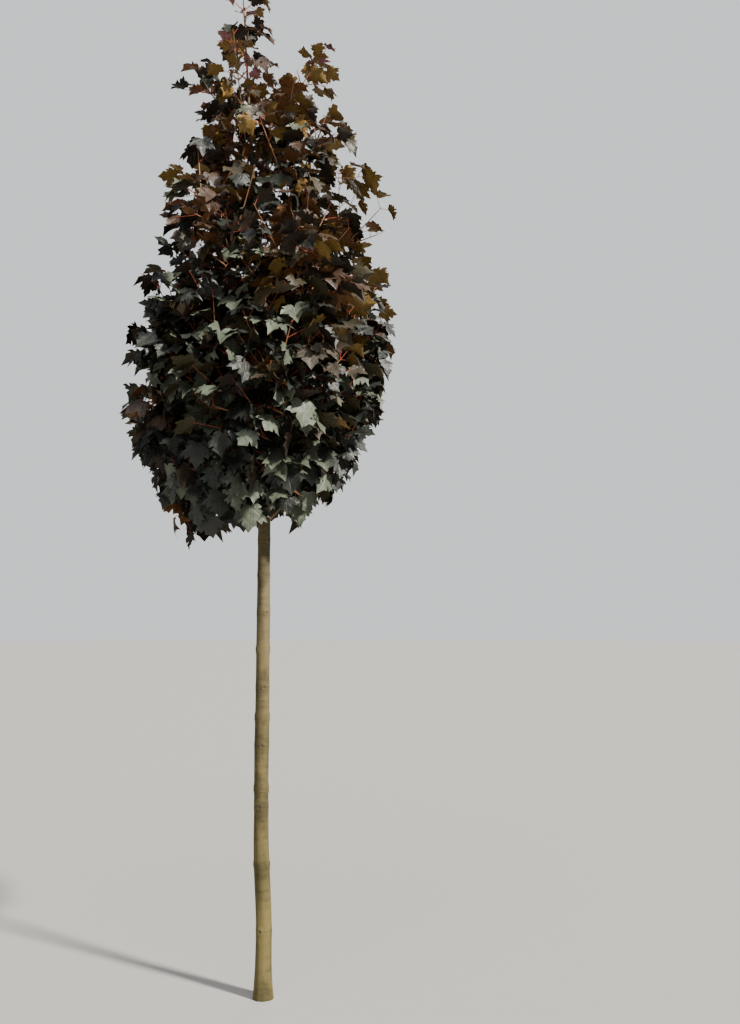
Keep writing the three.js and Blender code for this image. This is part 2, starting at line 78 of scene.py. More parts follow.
# %% Place the camera
EYE = (0.449, -4.387, 1.6)
TILT = 95.88
LENS = 35.16
SENSOR = 36
FURTHEST_SEEN = 200


def placed(name, data):
    """A new object at the origin that shows this mesh, light or camera."""
    made = bpy.data.objects.new(name, data)
    bpy.context.scene.collection.objects.link(made)
    return made


camera_data = bpy.data.cameras.new("camera")
camera_data.lens = LENS
camera_data.sensor_width = SENSOR
camera_data.clip_end = FURTHEST_SEEN
camera = placed("camera", camera_data)
camera.location = EYE
camera.rotation_euler = (math.radians(TILT), 0, 0)
bpy.context.scene.camera = camera
print("camera at", EYE)

# %% [markdown]
# ## The growth rule
#
# A tree like this one has buds in opposite pairs, each pair turned a right angle from the last. The
# part grows by that rule from a seed, and so does this file: the same seeds give the same boughs and
# twigs here. The rule works in millimetres and degrees, and each mesh is made in metres at the end.
# A small generator of our own is used, since Python's would give other numbers than the part's.

# %% Numbers, vectors and curves
MM = 0.001
UP = np.array((0.0, 0.0, 1.0))
ALONG_X = np.array((1.0, 0.0, 0.0))
WORD = 0xFFFFFFFF
SEED_STEP = 0x6D2B79F5
STEEP = 0.95
NUDGE = 0.01
LENGTH_SAMPLES = 201


def seeded(seed):
    """Random numbers from 0 to 1, the same for the same seed."""
    state = seed & WORD

    def draw():
        nonlocal state
        state = (state + SEED_STEP) & WORD
        mixed = ((state ^ (state >> 15)) * (1 | state)) & WORD
        mixed = ((mixed + (mixed ^ (mixed >> 7)) * (61 | mixed)) & WORD) ^ mixed
        return (mixed ^ (mixed >> 14)) / (WORD + 1)

    return draw


def mix(a, b, share):
    return a + (b - a) * share


def smooth(value, low, high):
    share = np.clip((value - low) / (high - low), 0, 1)
    return share * share * (3 - 2 * share)


def profile(rows, height):
    heights, values = zip(*rows)
    return np.interp(height, heights, values)


def unit(vector):
    return vector / np.linalg.norm(vector)


def level(angle):
    """A level unit vector, turned round from the right by an angle."""
    turn = math.radians(angle)
    return np.array((math.cos(turn), math.sin(turn), 0.0))


def across(direction, angle):
    """A unit vector across a direction, turned round it by an angle."""
    reference = ALONG_X if abs(direction[2]) > STEEP else UP
    side = unit(np.cross(direction, reference))
    other = np.cross(direction, side)
    return side * math.cos(math.radians(angle)) + other * math.sin(math.radians(angle))


def bezier(start, knee, tip):
    return lambda t: (1 - t) ** 2 * start + 2 * t * (1 - t) * knee + t * t * tip


def heading_of(line, share):
    return unit(line(min(1, share + NUDGE)) - line(max(0, share - NUDGE)))


def length_of(line):
    points = np.array([line(t) for t in np.linspace(0, 1, LENGTH_SAMPLES)])
    return np.linalg.norm(np.diff(points, axis=0), axis=1).sum()


first_draw = seeded(100)
print("first numbers for seed 100:", round(first_draw(), 4), round(first_draw(), 4))

# %% [markdown]
# ## The trunk's line
#
# The stem leans to the left, by 14 centimetres at its tip, with a slight bend near the ground where
# it was planted. Every limb starts from this line, so it comes first.

# %% Trunk sizes
LEADER_TIP = 4470
TRUNK_TOP = 3960
TRUNK_TAPER = [(0, 40), (120, 35.5), (320, 33.5), (1000, 31), (1900, 27.5), (2600, 21), (3300, 13.5)]
TRUNK_TAPER += [(TRUNK_TOP, 6.5), (LEADER_TIP, 2)]
BEND_HEIGHTS = (250, 720)
BEND = 17
LEAN_FOOT = 2000
LEAN = 126
LEAN_POWER = 1.3
BOW = 9
BOW_LENGTH = 1900


def trunk_point(height):
    climbed = max(0.0, (height - LEAN_FOOT) / (LEADER_TIP - LEAN_FOOT))
    lean = BEND * smooth(height, *BEND_HEIGHTS) + LEAN * climbed**LEAN_POWER
    return np.array((-lean, BOW * math.sin(height / BOW_LENGTH) ** 2, height))


def trunk_radius(height):
    return profile(TRUNK_TAPER, height)


print("leader's tip at", trunk_point(LEADER_TIP).round(0))

# %% [markdown]
# ## The boughs
#
# Eight pairs of boughs leave the trunk between two metres and its top, each pair turned 100 degrees
# from the last, so that the head is even on all sides. Low boughs reach out, high ones climb. A curve
# with one knee is enough for such young wood.

# %% Plan the boughs
TIERS = 8
TIER_FOOT = 2000
TIER_SPAN = 1720
TIER_POWER = 1.1
FIRST_TURN = 4
PAIR_TURN = 100
TURN_SCATTER = 24
BOUGH_SCATTER = (0.92, 1.08)
KNEE = np.array((0.5, 0.5, 0.44))
RISE = [(2000, 310), (2900, 500), (3540, 640), (3720, 470)]
HEAD_RADIUS = [(2000, 300), (2350, 520), (2500, 590), (3400, 580), (3900, 450), (4200, 430), (4350, 260)]
HEAD_MIDDLE = [(2300, -90), (3000, -20), (3400, 15), (3800, -15), (4200, -80)]
LEAF_REACH = 130
BOUGH_SHARE = 0.4
BOUGH_TAPER = 0.62
BARE_SHARE = 0.2
NODE_GAP = 92
FIRST_NODE = 0.15
LINE_STEPS = 9


def plan_bough(tier, index):
    height = TIER_FOOT + TIER_SPAN * (tier / (TIERS - 1)) ** TIER_POWER
    draw = seeded(100 + 10 * tier + index)
    turn = FIRST_TURN + PAIR_TURN * tier + 180 * index
    out = level(turn + TURN_SCATTER * (draw() - 0.5))
    evenness = mix(*BOUGH_SCATTER, draw())
    tip_height = height + profile(RISE, height) * mix(*BOUGH_SCATTER, draw())
    reach = (profile(HEAD_RADIUS, tip_height) - LEAF_REACH) * evenness
    start = trunk_point(height)
    tip = np.array((profile(HEAD_MIDDLE, tip_height), 0.0, tip_height)) + out * reach
    return {
        "name": f"{tier + 1:02d}{'ab'[index]}",
        "line": bezier(start, mix(start, tip, KNEE), tip),
        "radius": BOUGH_SHARE * trunk_radius(height),
        "seed": 1000 + 10 * tier + index,
        "bare": BARE_SHARE,
    }


leader = {
    "name": "top",
    "line": lambda t: trunk_point(mix(TRUNK_TOP, LEADER_TIP, t)),
    "radius": trunk_radius(TRUNK_TOP) / BOUGH_TAPER,
    "seed": 2000,
    "bare": 0,
}
limbs = [plan_bough(tier, index) for tier in range(TIERS) for index in range(2)] + [leader]
for limb in limbs:
    limb["points"] = np.array([limb["line"](i / LINE_STEPS) for i in range(LINE_STEPS + 1)])
    bare = limb["bare"]
    limb["stem"] = lambda t, line=limb["line"], bare=bare: line(mix(bare, 1, t))
    limb["length"] = length_of(limb["line"]) * (1 - bare)
    node_count = round(limb["length"] / NODE_GAP)
    limb["nodes"] = [(i + FIRST_NODE) / node_count for i in range(node_count)]
print(len(limbs), "limbs,", sum(len(limb["nodes"]) for limb in limbs), "nodes on their stems")

# %% [markdown]
# ## Each limb's own space
#
# Branches on a real tree fill the light that their neighbours leave. Here a point belongs to the limb
# whose line is nearest, which shares the head out without any limb running into another. The test is
# done on all limbs at once, as arrays.

# %% Measure how near each limb is
SEGMENT_FROM = np.array([limb["points"][:-1] for limb in limbs])
SEGMENT_STEP = np.array([np.diff(limb["points"], axis=0) for limb in limbs])
SEGMENT_SQUARE = (SEGMENT_STEP**2).sum(axis=2)


def distances(points):
    """How far each point is from each limb's line, in a table of points by limbs."""
    offset = np.asarray(points)[:, None, None, :] - SEGMENT_FROM
    share = np.clip((offset * SEGMENT_STEP).sum(axis=3) / SEGMENT_SQUARE, 0, 1)
    return np.linalg.norm(offset - share[..., None] * SEGMENT_STEP, axis=3).min(axis=2)


def owned(limb_number, points, margin):
    """Whether every point is nearer to this limb than to the others, by a margin."""
    table = distances(points)
    own = table[:, limb_number].copy()
    table[:, limb_number] = np.inf
    return bool((table.min(axis=1) > own + margin).all())


nearest = int(distances([(0, 0, 3000)]).argmin())
print("nearest limb to the head's middle:", limbs[nearest]["name"])

# %% [markdown]
# ## The twigs
#
# Opposite twigs leave each node of a stem and shorten towards its tip. Those that the part keeps come
# first, drawn in the same order. The real tree has finer ones too: where a long twig has no room a
# shorter one fits, and the longer twigs branch once more.

# %% Plan the part's twigs
TWIG_SPREAD = 52
TWIG_MARGIN = 9
TWIG_LIFT = 0.12
TWIG_RADII = (3.0, 1.9)
TWIG_LENGTHS = (215, 95)
HIGH_SHARE = 0.45
TWIG_SCATTER = (0.75, 1.2)
NODE_SCATTER = 40
SPIN_SCATTER = 50
TWIG_SAMPLES = (0.3, 0.55, 0.8, 1)
SAG = 0.03


def plan_way(heading, sideways, spread, lift):
    tilt = math.radians(spread)
    return unit(heading * math.cos(tilt) + sideways * math.sin(tilt) + UP * lift)


def plan_shoot(foot, way, length, radii, spin):
    tip = foot + way * length
    knee = foot + way * length / 2 - UP * SAG * length
    return {"line": bezier(foot, knee, tip), "length": length, "radii": radii, "spin": spin}


def plan_twigs(limb_number):
    """The part's twigs, and beside them those that it skips."""
    limb = limbs[limb_number]
    draw = seeded(limb["seed"])
    kept, skipped, taken = [], [], []
    for i, share in enumerate(limb["nodes"]):
        foot = limb["stem"](share)
        heading = heading_of(limb["stem"], share)
        turn = 90 * i + NODE_SCATTER * (draw() - 0.5)
        for flip in (0, 180):
            sideways = across(heading, turn + flip)
            climb = smooth(foot[2], TIER_FOOT, LEADER_TIP)
            length = mix(*TWIG_LENGTHS, share) * mix(1, HIGH_SHARE, climb) * mix(*TWIG_SCATTER, draw())
            spin = 90 + SPIN_SCATTER * (draw() - 0.5)
            way = plan_way(heading, sideways, TWIG_SPREAD, TWIG_LIFT)
            twig = plan_shoot(foot, way, length, TWIG_RADII, spin)
            twig["limb"] = limb_number
            samples = np.array([twig["line"](t) for t in TWIG_SAMPLES])
            apart = all(np.linalg.norm(samples - near, axis=1).min() > TWIG_MARGIN for near in taken)
            if apart and owned(limb_number, samples, TWIG_MARGIN):
                taken.extend(samples)
                kept.append(twig)
            else:
                skipped.append(twig)
    return kept, skipped


twigs, missed = [], []
for number in range(len(limbs)):
    kept, skipped = plan_twigs(number)
    twigs += kept
    missed += skipped
print(len(twigs), "twigs as in the part,", len(missed), "without room at full length")

# %% Add the finer twigs
FINE_LENGTHS = (0.75, 0.55, 0.4)
FINE_MARGIN = -14
FINE_RADII = (2.4, 1.6)
UPPER_HEAD = (2600, 4100)
SIDE_SHARES = (0.34, 0.66)
SIDE_GAPS = (0.1, 0.75)
SIDE_LENGTHS = (0.5, 0.28)
SIDE_SCATTER = (0.8, 1.25)
SIDE_RADII = (1.9, 1.4)
SIDE_SPREAD = 50
SIDE_LIFT = 0.1
SHORTEST = 26


def shortened(twig):
    """The longest shorter twig that fits, or None."""
    foot = twig["line"](0)
    way = unit(twig["line"](1) - foot)
    for share in FINE_LENGTHS:
        length = twig["length"] * share
        fine = plan_shoot(foot, way, length, FINE_RADII, twig["spin"])
        if owned(twig["limb"], [fine["line"](t) for t in (0.5, 1)], FINE_MARGIN):
            return fine
    return None


def side_twigs(twig, draw):
    """Opposite side twigs of one twig."""
    made = []
    gaps = mix(*SIDE_GAPS, smooth(twig["line"](1)[2], *UPPER_HEAD))
    for i, share in enumerate(SIDE_SHARES):
        foot = twig["line"](share)
        heading = heading_of(twig["line"], share)
        turn = twig["spin"] + 90 * (i + 1) + SPIN_SCATTER * (draw() - 0.5)
        for flip in (0, 180):
            length = twig["length"] * mix(*SIDE_LENGTHS, share) * mix(*SIDE_SCATTER, draw())
            way = plan_way(heading, across(heading, turn + flip), SIDE_SPREAD, SIDE_LIFT)
            if length > SHORTEST and draw() > gaps:
                made.append(plan_shoot(foot, way, length, SIDE_RADII, turn))
    return made


fine_draw = seeded(31)
short_twigs = [fine for fine in map(shortened, missed) if fine]
side_shoots = [side for twig in twigs + short_twigs for side in side_twigs(twig, fine_draw)]
print(len(short_twigs), "short twigs and", len(side_shoots), "side twigs")

# %% [markdown]
# ## Spurs inside the head
#
# The trunk carries short leafy spurs too, in pairs. They make the head dark and dense inside, so that
# no trunk shows through it above the lowest leaves.

# %% Plan the spurs
SPUR_FOOT = 2060
SPUR_TOP = TRUNK_TOP - 150
SPUR_GAP = 58
SPUR_TURN = 97
SPUR_SCATTER = 40
SPUR_LENGTHS = (45, 190)
SPUR_LIFT = 0.45
SPUR_RADII = (3.2, 1.8)


def plan_spurs():
    draw = seeded(77)
    spurs = []
    for i, height in enumerate(np.arange(SPUR_FOOT, SPUR_TOP, SPUR_GAP)):
        foot = trunk_point(height)
        for flip in (0, 180):
            way = unit(level(SPUR_TURN * i + flip + SPUR_SCATTER * draw()) + UP * SPUR_LIFT)
            length = trunk_radius(height) + mix(*SPUR_LENGTHS, draw())
            spurs.append(plan_shoot(foot, way, length, SPUR_RADII, 360 * draw()))
    return spurs


spurs = plan_spurs()
print(len(spurs), "spurs")

# %% [markdown]
# ## Growing into the gaps
#
# Between two tiers of boughs the rule leaves hollows that the real tree doesn't have: a shoot with
# light around it grows longer. So places are tried at random inside the head, and each one that no
# shoot is near gets a shoot, from the best wood below it.

# %% Plan the shoots in the gaps
GAP_TRIES = 4000
GAP_APART = (72, 165)
APART_HEIGHTS = (2700, 4100)
GAP_HEIGHTS = (TIER_FOOT + 110, LEADER_TIP - 160)
GAP_INSET = 70
CORE_TAPER = [(3400, 1), (3800, 0.78), (4100, 0.5), (4350, 0.25)]
GAP_LENGTH = 290
GAP_RADII = (2.7, 1.6)
SAMPLE_SHARES = (0.3, 0.65, 1)
STEM_SHARES = np.linspace(0.05, 0.9, 9)
UPWARD = 1.5


def gap_tip(draw):
    """A random place inside the head."""
    height = mix(*GAP_HEIGHTS, draw())
    azimuth = math.tau * draw()
    widest = (profile(HEAD_RADIUS, height) - GAP_INSET) * profile(CORE_TAPER, height)
    radius = widest * math.sqrt(draw())
    middle = profile(HEAD_MIDDLE, height)
    return np.array((middle + radius * math.cos(azimuth), radius * math.sin(azimuth), height))


def plan_gap_shoots(grown):
    draw = seeded(55)
    stems = [{"line": limb["stem"]} for limb in limbs]
    feet = [shoot["line"](t) for shoot in grown for t in SAMPLE_SHARES[:2]]
    feet += [stem["line"](t) for stem in stems for t in STEM_SHARES]
    feet = np.array(feet)
    taken = [shoot["line"](t) for shoot in grown + stems for t in SAMPLE_SHARES]
    made = []
    for _ in range(GAP_TRIES):
        tip = gap_tip(draw)
        apart = mix(*GAP_APART, smooth(tip[2], *APART_HEIGHTS))
        if np.linalg.norm(np.array(taken) - tip, axis=1).min() < apart:
            continue
        away = tip - feet
        length = np.linalg.norm(away, axis=1)
        best = int((length * (UPWARD - away[:, 2] / length)).argmin())
        if length[best] > GAP_LENGTH:
            continue
        way = away[best] / length[best]
        shoot = plan_shoot(feet[best], way, length[best], GAP_RADII, 360 * draw())
        taken.extend(shoot["line"](t) for t in SAMPLE_SHARES)
        made.append(shoot)
    return made


gap_shoots = plan_gap_shoots(twigs + short_twigs + side_shoots + spurs)
longest = round(max(shoot["length"] for shoot in gap_shoots))
print(len(gap_shoots), "shoots in the gaps, up to", longest, "mm")

# %% [markdown]
# ## Where the leaves hang
#
# Maple leaves sit in opposite pairs on long stalks, with one more at the tip. A stalk leaves its twig
# at an angle and the blade hangs from its end, steeply low on the tree and flatter near the top. Each
# leaf is tried a few times, and left out if it would leave the head's outline, cut the trunk or
# crowd another leaf.

# %% Place the leaves
LEAF_LENGTH = (111, 80)
LEAF_SCATTER = (0.72, 1.12)
PETIOLE = (74, 46)
PETIOLE_SCATTER = (0.7, 1.35)
DROOP = [(1950, 76), (2200, 60), (2450, 34), (3000, 20), (4400, 16)]
DROOP_SCATTER = 52
ROLL_SCATTER = 70
YAW = 0.9
OUTWARD = 0.45
LEAF_SPREAD = 54
LEAF_LIFT = 0.15
BLADE_MIDDLE = 0.4


def centred(draw):
    """A random number from -1 to 1, most often near 0."""
    return draw() + draw() - 1


def place_leaf(node, heading, sideways, draw):
    way = plan_way(heading, sideways, LEAF_SPREAD, LEAF_LIFT)
    climb = smooth(node[2], TIER_FOOT, LEADER_TIP)
    foot = node + way * mix(*PETIOLE, climb) * mix(*PETIOLE_SCATTER, draw())
    length = mix(*LEAF_LENGTH, climb) * mix(*LEAF_SCATTER, draw())
    axis = trunk_point(foot[2])
    outward = unit(np.array((foot[0] - axis[0], foot[1] - axis[1], 0.0)))
    flat = unit(unit(np.array((way[0], way[1], 0.0))) + outward * OUTWARD)
    flat = unit(flat + np.cross(UP, flat) * YAW * centred(draw))
    droop = math.radians(profile(DROOP, foot[2]) + DROOP_SCATTER * centred(draw))
    midrib = flat * math.cos(droop) - UP * math.sin(droop)
    normal = flat * math.sin(droop) + UP * math.cos(droop)
    roll = math.radians(ROLL_SCATTER * centred(draw))
    normal = normal * math.cos(roll) + np.cross(midrib, normal) * math.sin(roll)
    leaf = {"node": node, "way": way, "foot": foot, "length": length}
    leaf |= {"midrib": midrib, "normal": normal, "side": np.cross(midrib, normal)}
    leaf["centre"] = foot + midrib * BLADE_MIDDLE * length
    return leaf


print("a low leaf is up to", round(LEAF_LENGTH[0] * LEAF_SCATTER[1]), "mm long")

# %% Test where a leaf may hang
CROWD = (27, 38)
SLIM_HEIGHTS = (4180, 4400)
SLIM_BY = 0.55
LOWEST = (1880, 1990)
SKIRT = (380, 620)
BOX_MARGIN = 14
BOX_LOW = np.array(cad_low) / MM - BOX_MARGIN
BOX_HIGH = np.array(cad_high) / MM + BOX_MARGIN
TRUNK_GAP = 5
TRUNK_LEVELS = np.linspace(1900, TRUNK_TOP, 80)
TRUNK_SAMPLES = np.array([trunk_point(z) for z in TRUNK_LEVELS])
TRUNK_CLEAR = np.array([trunk_radius(z) for z in TRUNK_LEVELS]) + TRUNK_GAP
BLADE_SAMPLES = ((0, 0.5), (0, 1), (0.6, 0.5), (-0.6, 0.5), (0.4, 0), (-0.4, 0))
MOST_LEAVES = 6000
FAR_OFF = 1e6
leaves = []
centres = np.full((MOST_LEAVES, 3), FAR_OFF)


def in_head(points, stand_out):
    """Whether all points keep to the head's outline and to the box of the solids."""
    radial = np.hypot(points[:, 0] - profile(HEAD_MIDDLE, points[:, 2]), points[:, 1])
    slim = 1 - SLIM_BY * smooth(points[:, 2], *SLIM_HEIGHTS)
    inside = radial < profile(HEAD_RADIUS, points[:, 2]) * slim + stand_out
    above = points[:, 2] > mix(*LOWEST, smooth(radial.max(), *SKIRT))
    boxed = (points > BOX_LOW) & (points < BOX_HIGH)
    return bool(inside.all() and above.all() and boxed.all())


def fits(leaf, stand_out):
    crowd = mix(*CROWD, smooth(leaf["centre"][2], *UPPER_HEAD))
    others = np.linalg.norm(centres[: len(leaves)] - leaf["centre"], axis=1)
    if others.min(initial=FAR_OFF) < crowd:
        return False
    blade = [x * leaf["side"] + y * leaf["midrib"] for x, y in BLADE_SAMPLES]
    points = np.array([leaf["foot"] + leaf["length"] * point for point in blade])
    if not in_head(points, stand_out):
        return False
    gap = np.linalg.norm(points[:, None] - TRUNK_SAMPLES, axis=2) - TRUNK_CLEAR
    return gap.min() > 0


print("leaves keep from", BOX_LOW.round(0), "to", BOX_HIGH.round(0))

# %% Hang the leaves
LEAF_TRIES = 8
STAND_OUT = (-150, 55)
STAND_POWER = 0.6
TURN_OFF = 80
LOW_OPEN = 0.16
MIDDLE_OPEN = 0.4
MIDDLE_HEIGHTS = (2500, 3400)
TOP_OPEN = 0.12
TOP_HEIGHTS = (3700, 4350)
LAST_NODE = 0.985
LEAF_SHARES = (
    (twigs, (0.3, 0.62, 0.95)),
    (short_twigs, (0.5, 0.95)),
    (spurs, (0.6, 0.95)),
    (side_shoots, (0.95,)),
    (gap_shoots, (0.4, 0.7, 0.96)),
)


def openness(height):
    """The share of leaves left out, where the sky shows through the top of the head."""
    middle = MIDDLE_OPEN * smooth(height, *MIDDLE_HEIGHTS)
    return LOW_OPEN + middle + TOP_OPEN * smooth(height, *TOP_HEIGHTS)


def add_spray(shoot, shares, height, draw):
    """Leaves in pairs along a shoot, and one more at its tip."""
    skip = openness(height)
    for i, share in enumerate(shares):
        node = shoot["line"](share)
        heading = heading_of(shoot["line"], share)
        turns = [shoot["spin"] + 90 * i, shoot["spin"] + 90 * i + 180]
        if i == len(shares) - 1:
            turns.insert(0, None)
        for turn in turns:
            if draw() < skip:
                continue
            for _ in range(LEAF_TRIES):
                scatter = TURN_OFF * (draw() - 0.5)
                sideways = heading if turn is None else across(heading, turn + scatter)
                leaf = place_leaf(node, heading, sideways, draw)
                if fits(leaf, mix(*STAND_OUT, draw() ** STAND_POWER)):
                    centres[len(leaves)] = leaf["centre"]
                    leaf["spray"] = len(sprays)
                    leaves.append(leaf)
                    break
    sprays.append(shoot)


leaf_draw = seeded(5)
sprays = []
for shoots, shares in LEAF_SHARES:
    for shoot in shoots:
        add_spray(shoot, shares, shoot["line"](1)[2], leaf_draw)
for limb in limbs:
    stem = {"line": limb["stem"], "spin": 90}
    add_spray(stem, [*limb["nodes"], LAST_NODE], limb["line"](1)[2], leaf_draw)
print(len(leaves), "leaves in", len(sprays), "sprays")

# %% [markdown]
# ## Tints by spray
#
# Old leaves are nearly black above: their tint is the leaf's dark colour darkened as painted shade,
# and every spray low under the head gets it. Other sprays are sage-grey, a painted sheen of sunlight
# on the waxy tops. Towards the top and the sunny right side they turn bronze and rust, with light
# undersides that are partly painted sunlight shining through, and the newest, round the leader, are
# pink. A whole spray shares one tint, drawn by its place, so that the colours lie in patches as on
# the tree.

# %% Deal the tints out
TINTS = ("shade", "green", "bronze", "rust", "young")
HIGH_HEIGHTS = (2800, 3700)
SUNNY_SIDE = (-250, 350)
SHADY_WARMTH = 0.7
SUN_WARMTH = 0.4
SUN_HEIGHTS = (2300, 3000)
YOUNG_SHARE = 0.3
YOUNG_HEIGHTS = (3900, 4250)
BRONZE_SHARE = 0.56
RUST_SHARE = 0.74
STRAY_RUST = 0.97
# Share of sprays dealt the sage-grey tint: a painted sheen of sunlight on dark waxy tops.
LIT_SHEEN_SHARE = 0.5
SHADE_TO_SHEEN_HEIGHTS = (2000, 2200)
LIT_SHEEN_LOSS = 0.55
YOUNG_SIZE = 0.72


def tint_of(shoot, draw):
    tip = shoot["line"](1)
    high = smooth(tip[2], *HIGH_HEIGHTS)
    sunny = smooth(tip[0] - profile(HEAD_MIDDLE, tip[2]), *SUNNY_SIDE)
    # Bronze and rust are dealt more high up and on the sunny side, where their light undersides are
    # partly painted sunlight shining through.
    warm_and_backlit = high * mix(SHADY_WARMTH, 1.0, sunny)
    warm_and_backlit += SUN_WARMTH * sunny * (1 - high) * smooth(tip[2], *SUN_HEIGHTS)
    pick = draw()
    if pick < YOUNG_SHARE * smooth(tip[2], *YOUNG_HEIGHTS):
        return "young"
    if pick < BRONZE_SHARE * warm_and_backlit:
        return "bronze"
    if pick < RUST_SHARE * warm_and_backlit or pick > STRAY_RUST:
        return "rust"
    # Below these heights every spray keeps the near-black tint, as painted shade under the head; above
    # them some get the painted sheen.
    lit_sheen_chance = LIT_SHEEN_SHARE * smooth(tip[2], *SHADE_TO_SHEEN_HEIGHTS) * (1 - LIT_SHEEN_LOSS * high)
    return "green" if draw() < lit_sheen_chance else "shade"


tint_draw = seeded(12)
spray_tints = [tint_of(shoot, tint_draw) for shoot in sprays]
for leaf in leaves:
    leaf["tint"] = spray_tints[leaf["spray"]]
    if leaf["tint"] == "young":
        leaf["length"] *= YOUNG_SIZE
print({tint: sum(leaf["tint"] == tint for leaf in leaves) for tint in TINTS})

# %% [markdown]
# ## One blade, many leaves
#
# A maple leaf has five pointed lobes with a few coarse teeth, a heart-shaped base and veins that run
# into each lobe. One outline serves for all, as an array. The veins lie low and the lobes arch up
# between them and droop at their tips, so light catches each leaf in several planes. The blade is
# closed: a top and an underside share the rim, and each has its own finish.

# %% The blade's outline and faces
BASAL_LOBE = [(0.09, -0.10), (0.25, -0.14), (0.43, -0.06), (0.37, 0.05), (0.51, 0.12)]
SIDE_LOBE = [(0.42, 0.20), (0.55, 0.31), (0.65, 0.50), (0.49, 0.48), (0.45, 0.62)]
MIDDLE_LOBE = [(0.26, 0.50), (0.30, 0.71), (0.15, 0.78)]
HALF_RIM = BASAL_LOBE + SIDE_LOBE + MIDDLE_LOBE
VEIN_POINTS = [(0.0, 0.48), (0.34, 0.26), (0.24, -0.03)]
BASAL_END = 1 + len(BASAL_LOBE)
SIDE_END = BASAL_END + len(SIDE_LOBE)
TIP = SIDE_END + len(MIDDLE_LOBE)
MIRROR = TIP + 1
RIM_COUNT = MIRROR + len(HALF_RIM)


def blade_plan():
    """Rim and vein points in the flat, and the top's triangles."""
    rim = [(0.0, 0.0), *HALF_RIM, (0.0, 1.0), *[(-x, y) for x, y in HALF_RIM]]
    inner = [*VEIN_POINTS, *[(-x, y) for x, y in VEIN_POINTS[1:]]]
    faces = []
    for first, lateral, basal, turned in ((1, 1, 2, False), (MIRROR, 3, 4, True)):
        mid, lateral, basal = RIM_COUNT, RIM_COUNT + lateral, RIM_COUNT + basal
        side = [0, *range(first, first + len(HALF_RIM)), TIP]
        half = [(side[i], side[i + 1], basal) for i in range(BASAL_END)]
        half += [(side[i], side[i + 1], lateral) for i in range(BASAL_END, SIDE_END)]
        half += [(side[i], side[i + 1], mid) for i in range(SIDE_END, TIP)]
        half += [(basal, side[BASAL_END], lateral), (lateral, side[SIDE_END], mid)]
        half += [(0, basal, lateral), (0, lateral, mid)]
        faces += [face[::-1] for face in half] if turned else half
    return np.array(rim + inner), faces


blade_flat, blade_top = blade_plan()
print(len(blade_flat), "points and", 2 * len(blade_top), "faces a leaf")

# %% [markdown]
# ## Making many small meshes at once
#
# Thousands of separate objects would be slow and couldn't be kept as one piece. So each kind of small
# thing goes into one mesh, made from arrays: the points and faces of all its tubes are collected, and
# become a single object at the origin.

# %% Tubes, and many shapes in one piece
def tube(line, shares, radii, sides):
    """A closed tube: rings along a line, with a cap at each end."""
    angles = np.linspace(0, math.tau, sides, endpoint=False)[:, None]
    side = across(heading_of(line, shares[0]), 0)
    rings = []
    for share, radius in zip(shares, radii):
        heading = heading_of(line, share)
        side = unit(side - heading * side.dot(heading))
        other = np.cross(heading, side)
        rings.append(line(share) + radius * (side * np.cos(angles) + other * np.sin(angles)))
    faces = [list(range(sides))[::-1], list(range((len(rings) - 1) * sides, len(rings) * sides))]
    for ring in range(len(rings) - 1):
        for i in range(sides):
            j = (i + 1) % sides
            low, high = ring * sides, (ring + 1) * sides
            faces.append((low + i, low + j, high + j, high + i))
    return np.concatenate(rings), faces


def shaded(piece, edge):
    """Smooth shading, with edges kept where faces meet more steeply."""
    bpy.ops.object.select_all(action="DESELECT")
    piece.select_set(True)
    bpy.context.view_layer.objects.active = piece
    bpy.ops.object.shade_smooth_by_angle(angle=math.radians(edge))
    piece.select_set(False)
    print(piece.name, "has", len(piece.data.polygons), "faces")


def one_piece(name, shapes, edge):
    points, faces, total = [], [], 0
    for shape_points, shape_faces in shapes:
        points.append(shape_points)
        faces += [[i + total for i in face] for face in shape_faces]
        total += len(shape_points)
    mesh = bpy.data.meshes.new(name)
    mesh.from_pydata((np.concatenate(points) * MM).tolist(), [], faces)
    piece = placed(name, mesh)
    shaded(piece, edge)
    return piece


print("stalks, twigs and boughs will each be one piece of many tubes")

# %% [markdown]
# ## The leaves as meshes
#
# Every leaf bends the same plan its own way: wide or narrow, flat or folded, with tips that droop
# more or less. All leaves of a tint are placed in one sum of arrays.

# %% Bend and place the leaves
VEIN_TIPS = np.array([(0.0, 1.0), (0.65, 0.50), (0.43, -0.06), (-0.65, 0.50), (-0.43, -0.06)])
BLADE_THICKNESS = 0.011
YOUNG_FOLD = 1.8
BENDS = {
    "widen": (0.86, 1.12),
    "curl": (-0.12, 0.5),
    "fold": (-0.1, 0.6),
    "halves": (-0.35, 0.65),
    "twist": (-0.55, 0.55),
}
CURL_LENGTH = 0.8
CURL_FROM = 0.1
NARROWED = 0.3
RUFFLE = 0.036
DENT = 0.03
INNER = blade_flat[RIM_COUNT:]
PLAN = np.concatenate([blade_flat, INNER])
HALF_THICK = np.zeros(len(PLAN))
HALF_THICK[RIM_COUNT : len(blade_flat)] = BLADE_THICKNESS / 2
HALF_THICK[len(blade_flat) :] = -BLADE_THICKNESS / 2
shape_draw = np.random.default_rng(3)


def from_veins(points):
    """How far each point of the plan is from the nearest vein."""
    share = np.clip(points @ VEIN_TIPS.T / (VEIN_TIPS**2).sum(axis=1), 0, 1)
    return np.linalg.norm(points[:, None] - share[..., None] * VEIN_TIPS, axis=2).min(axis=1)


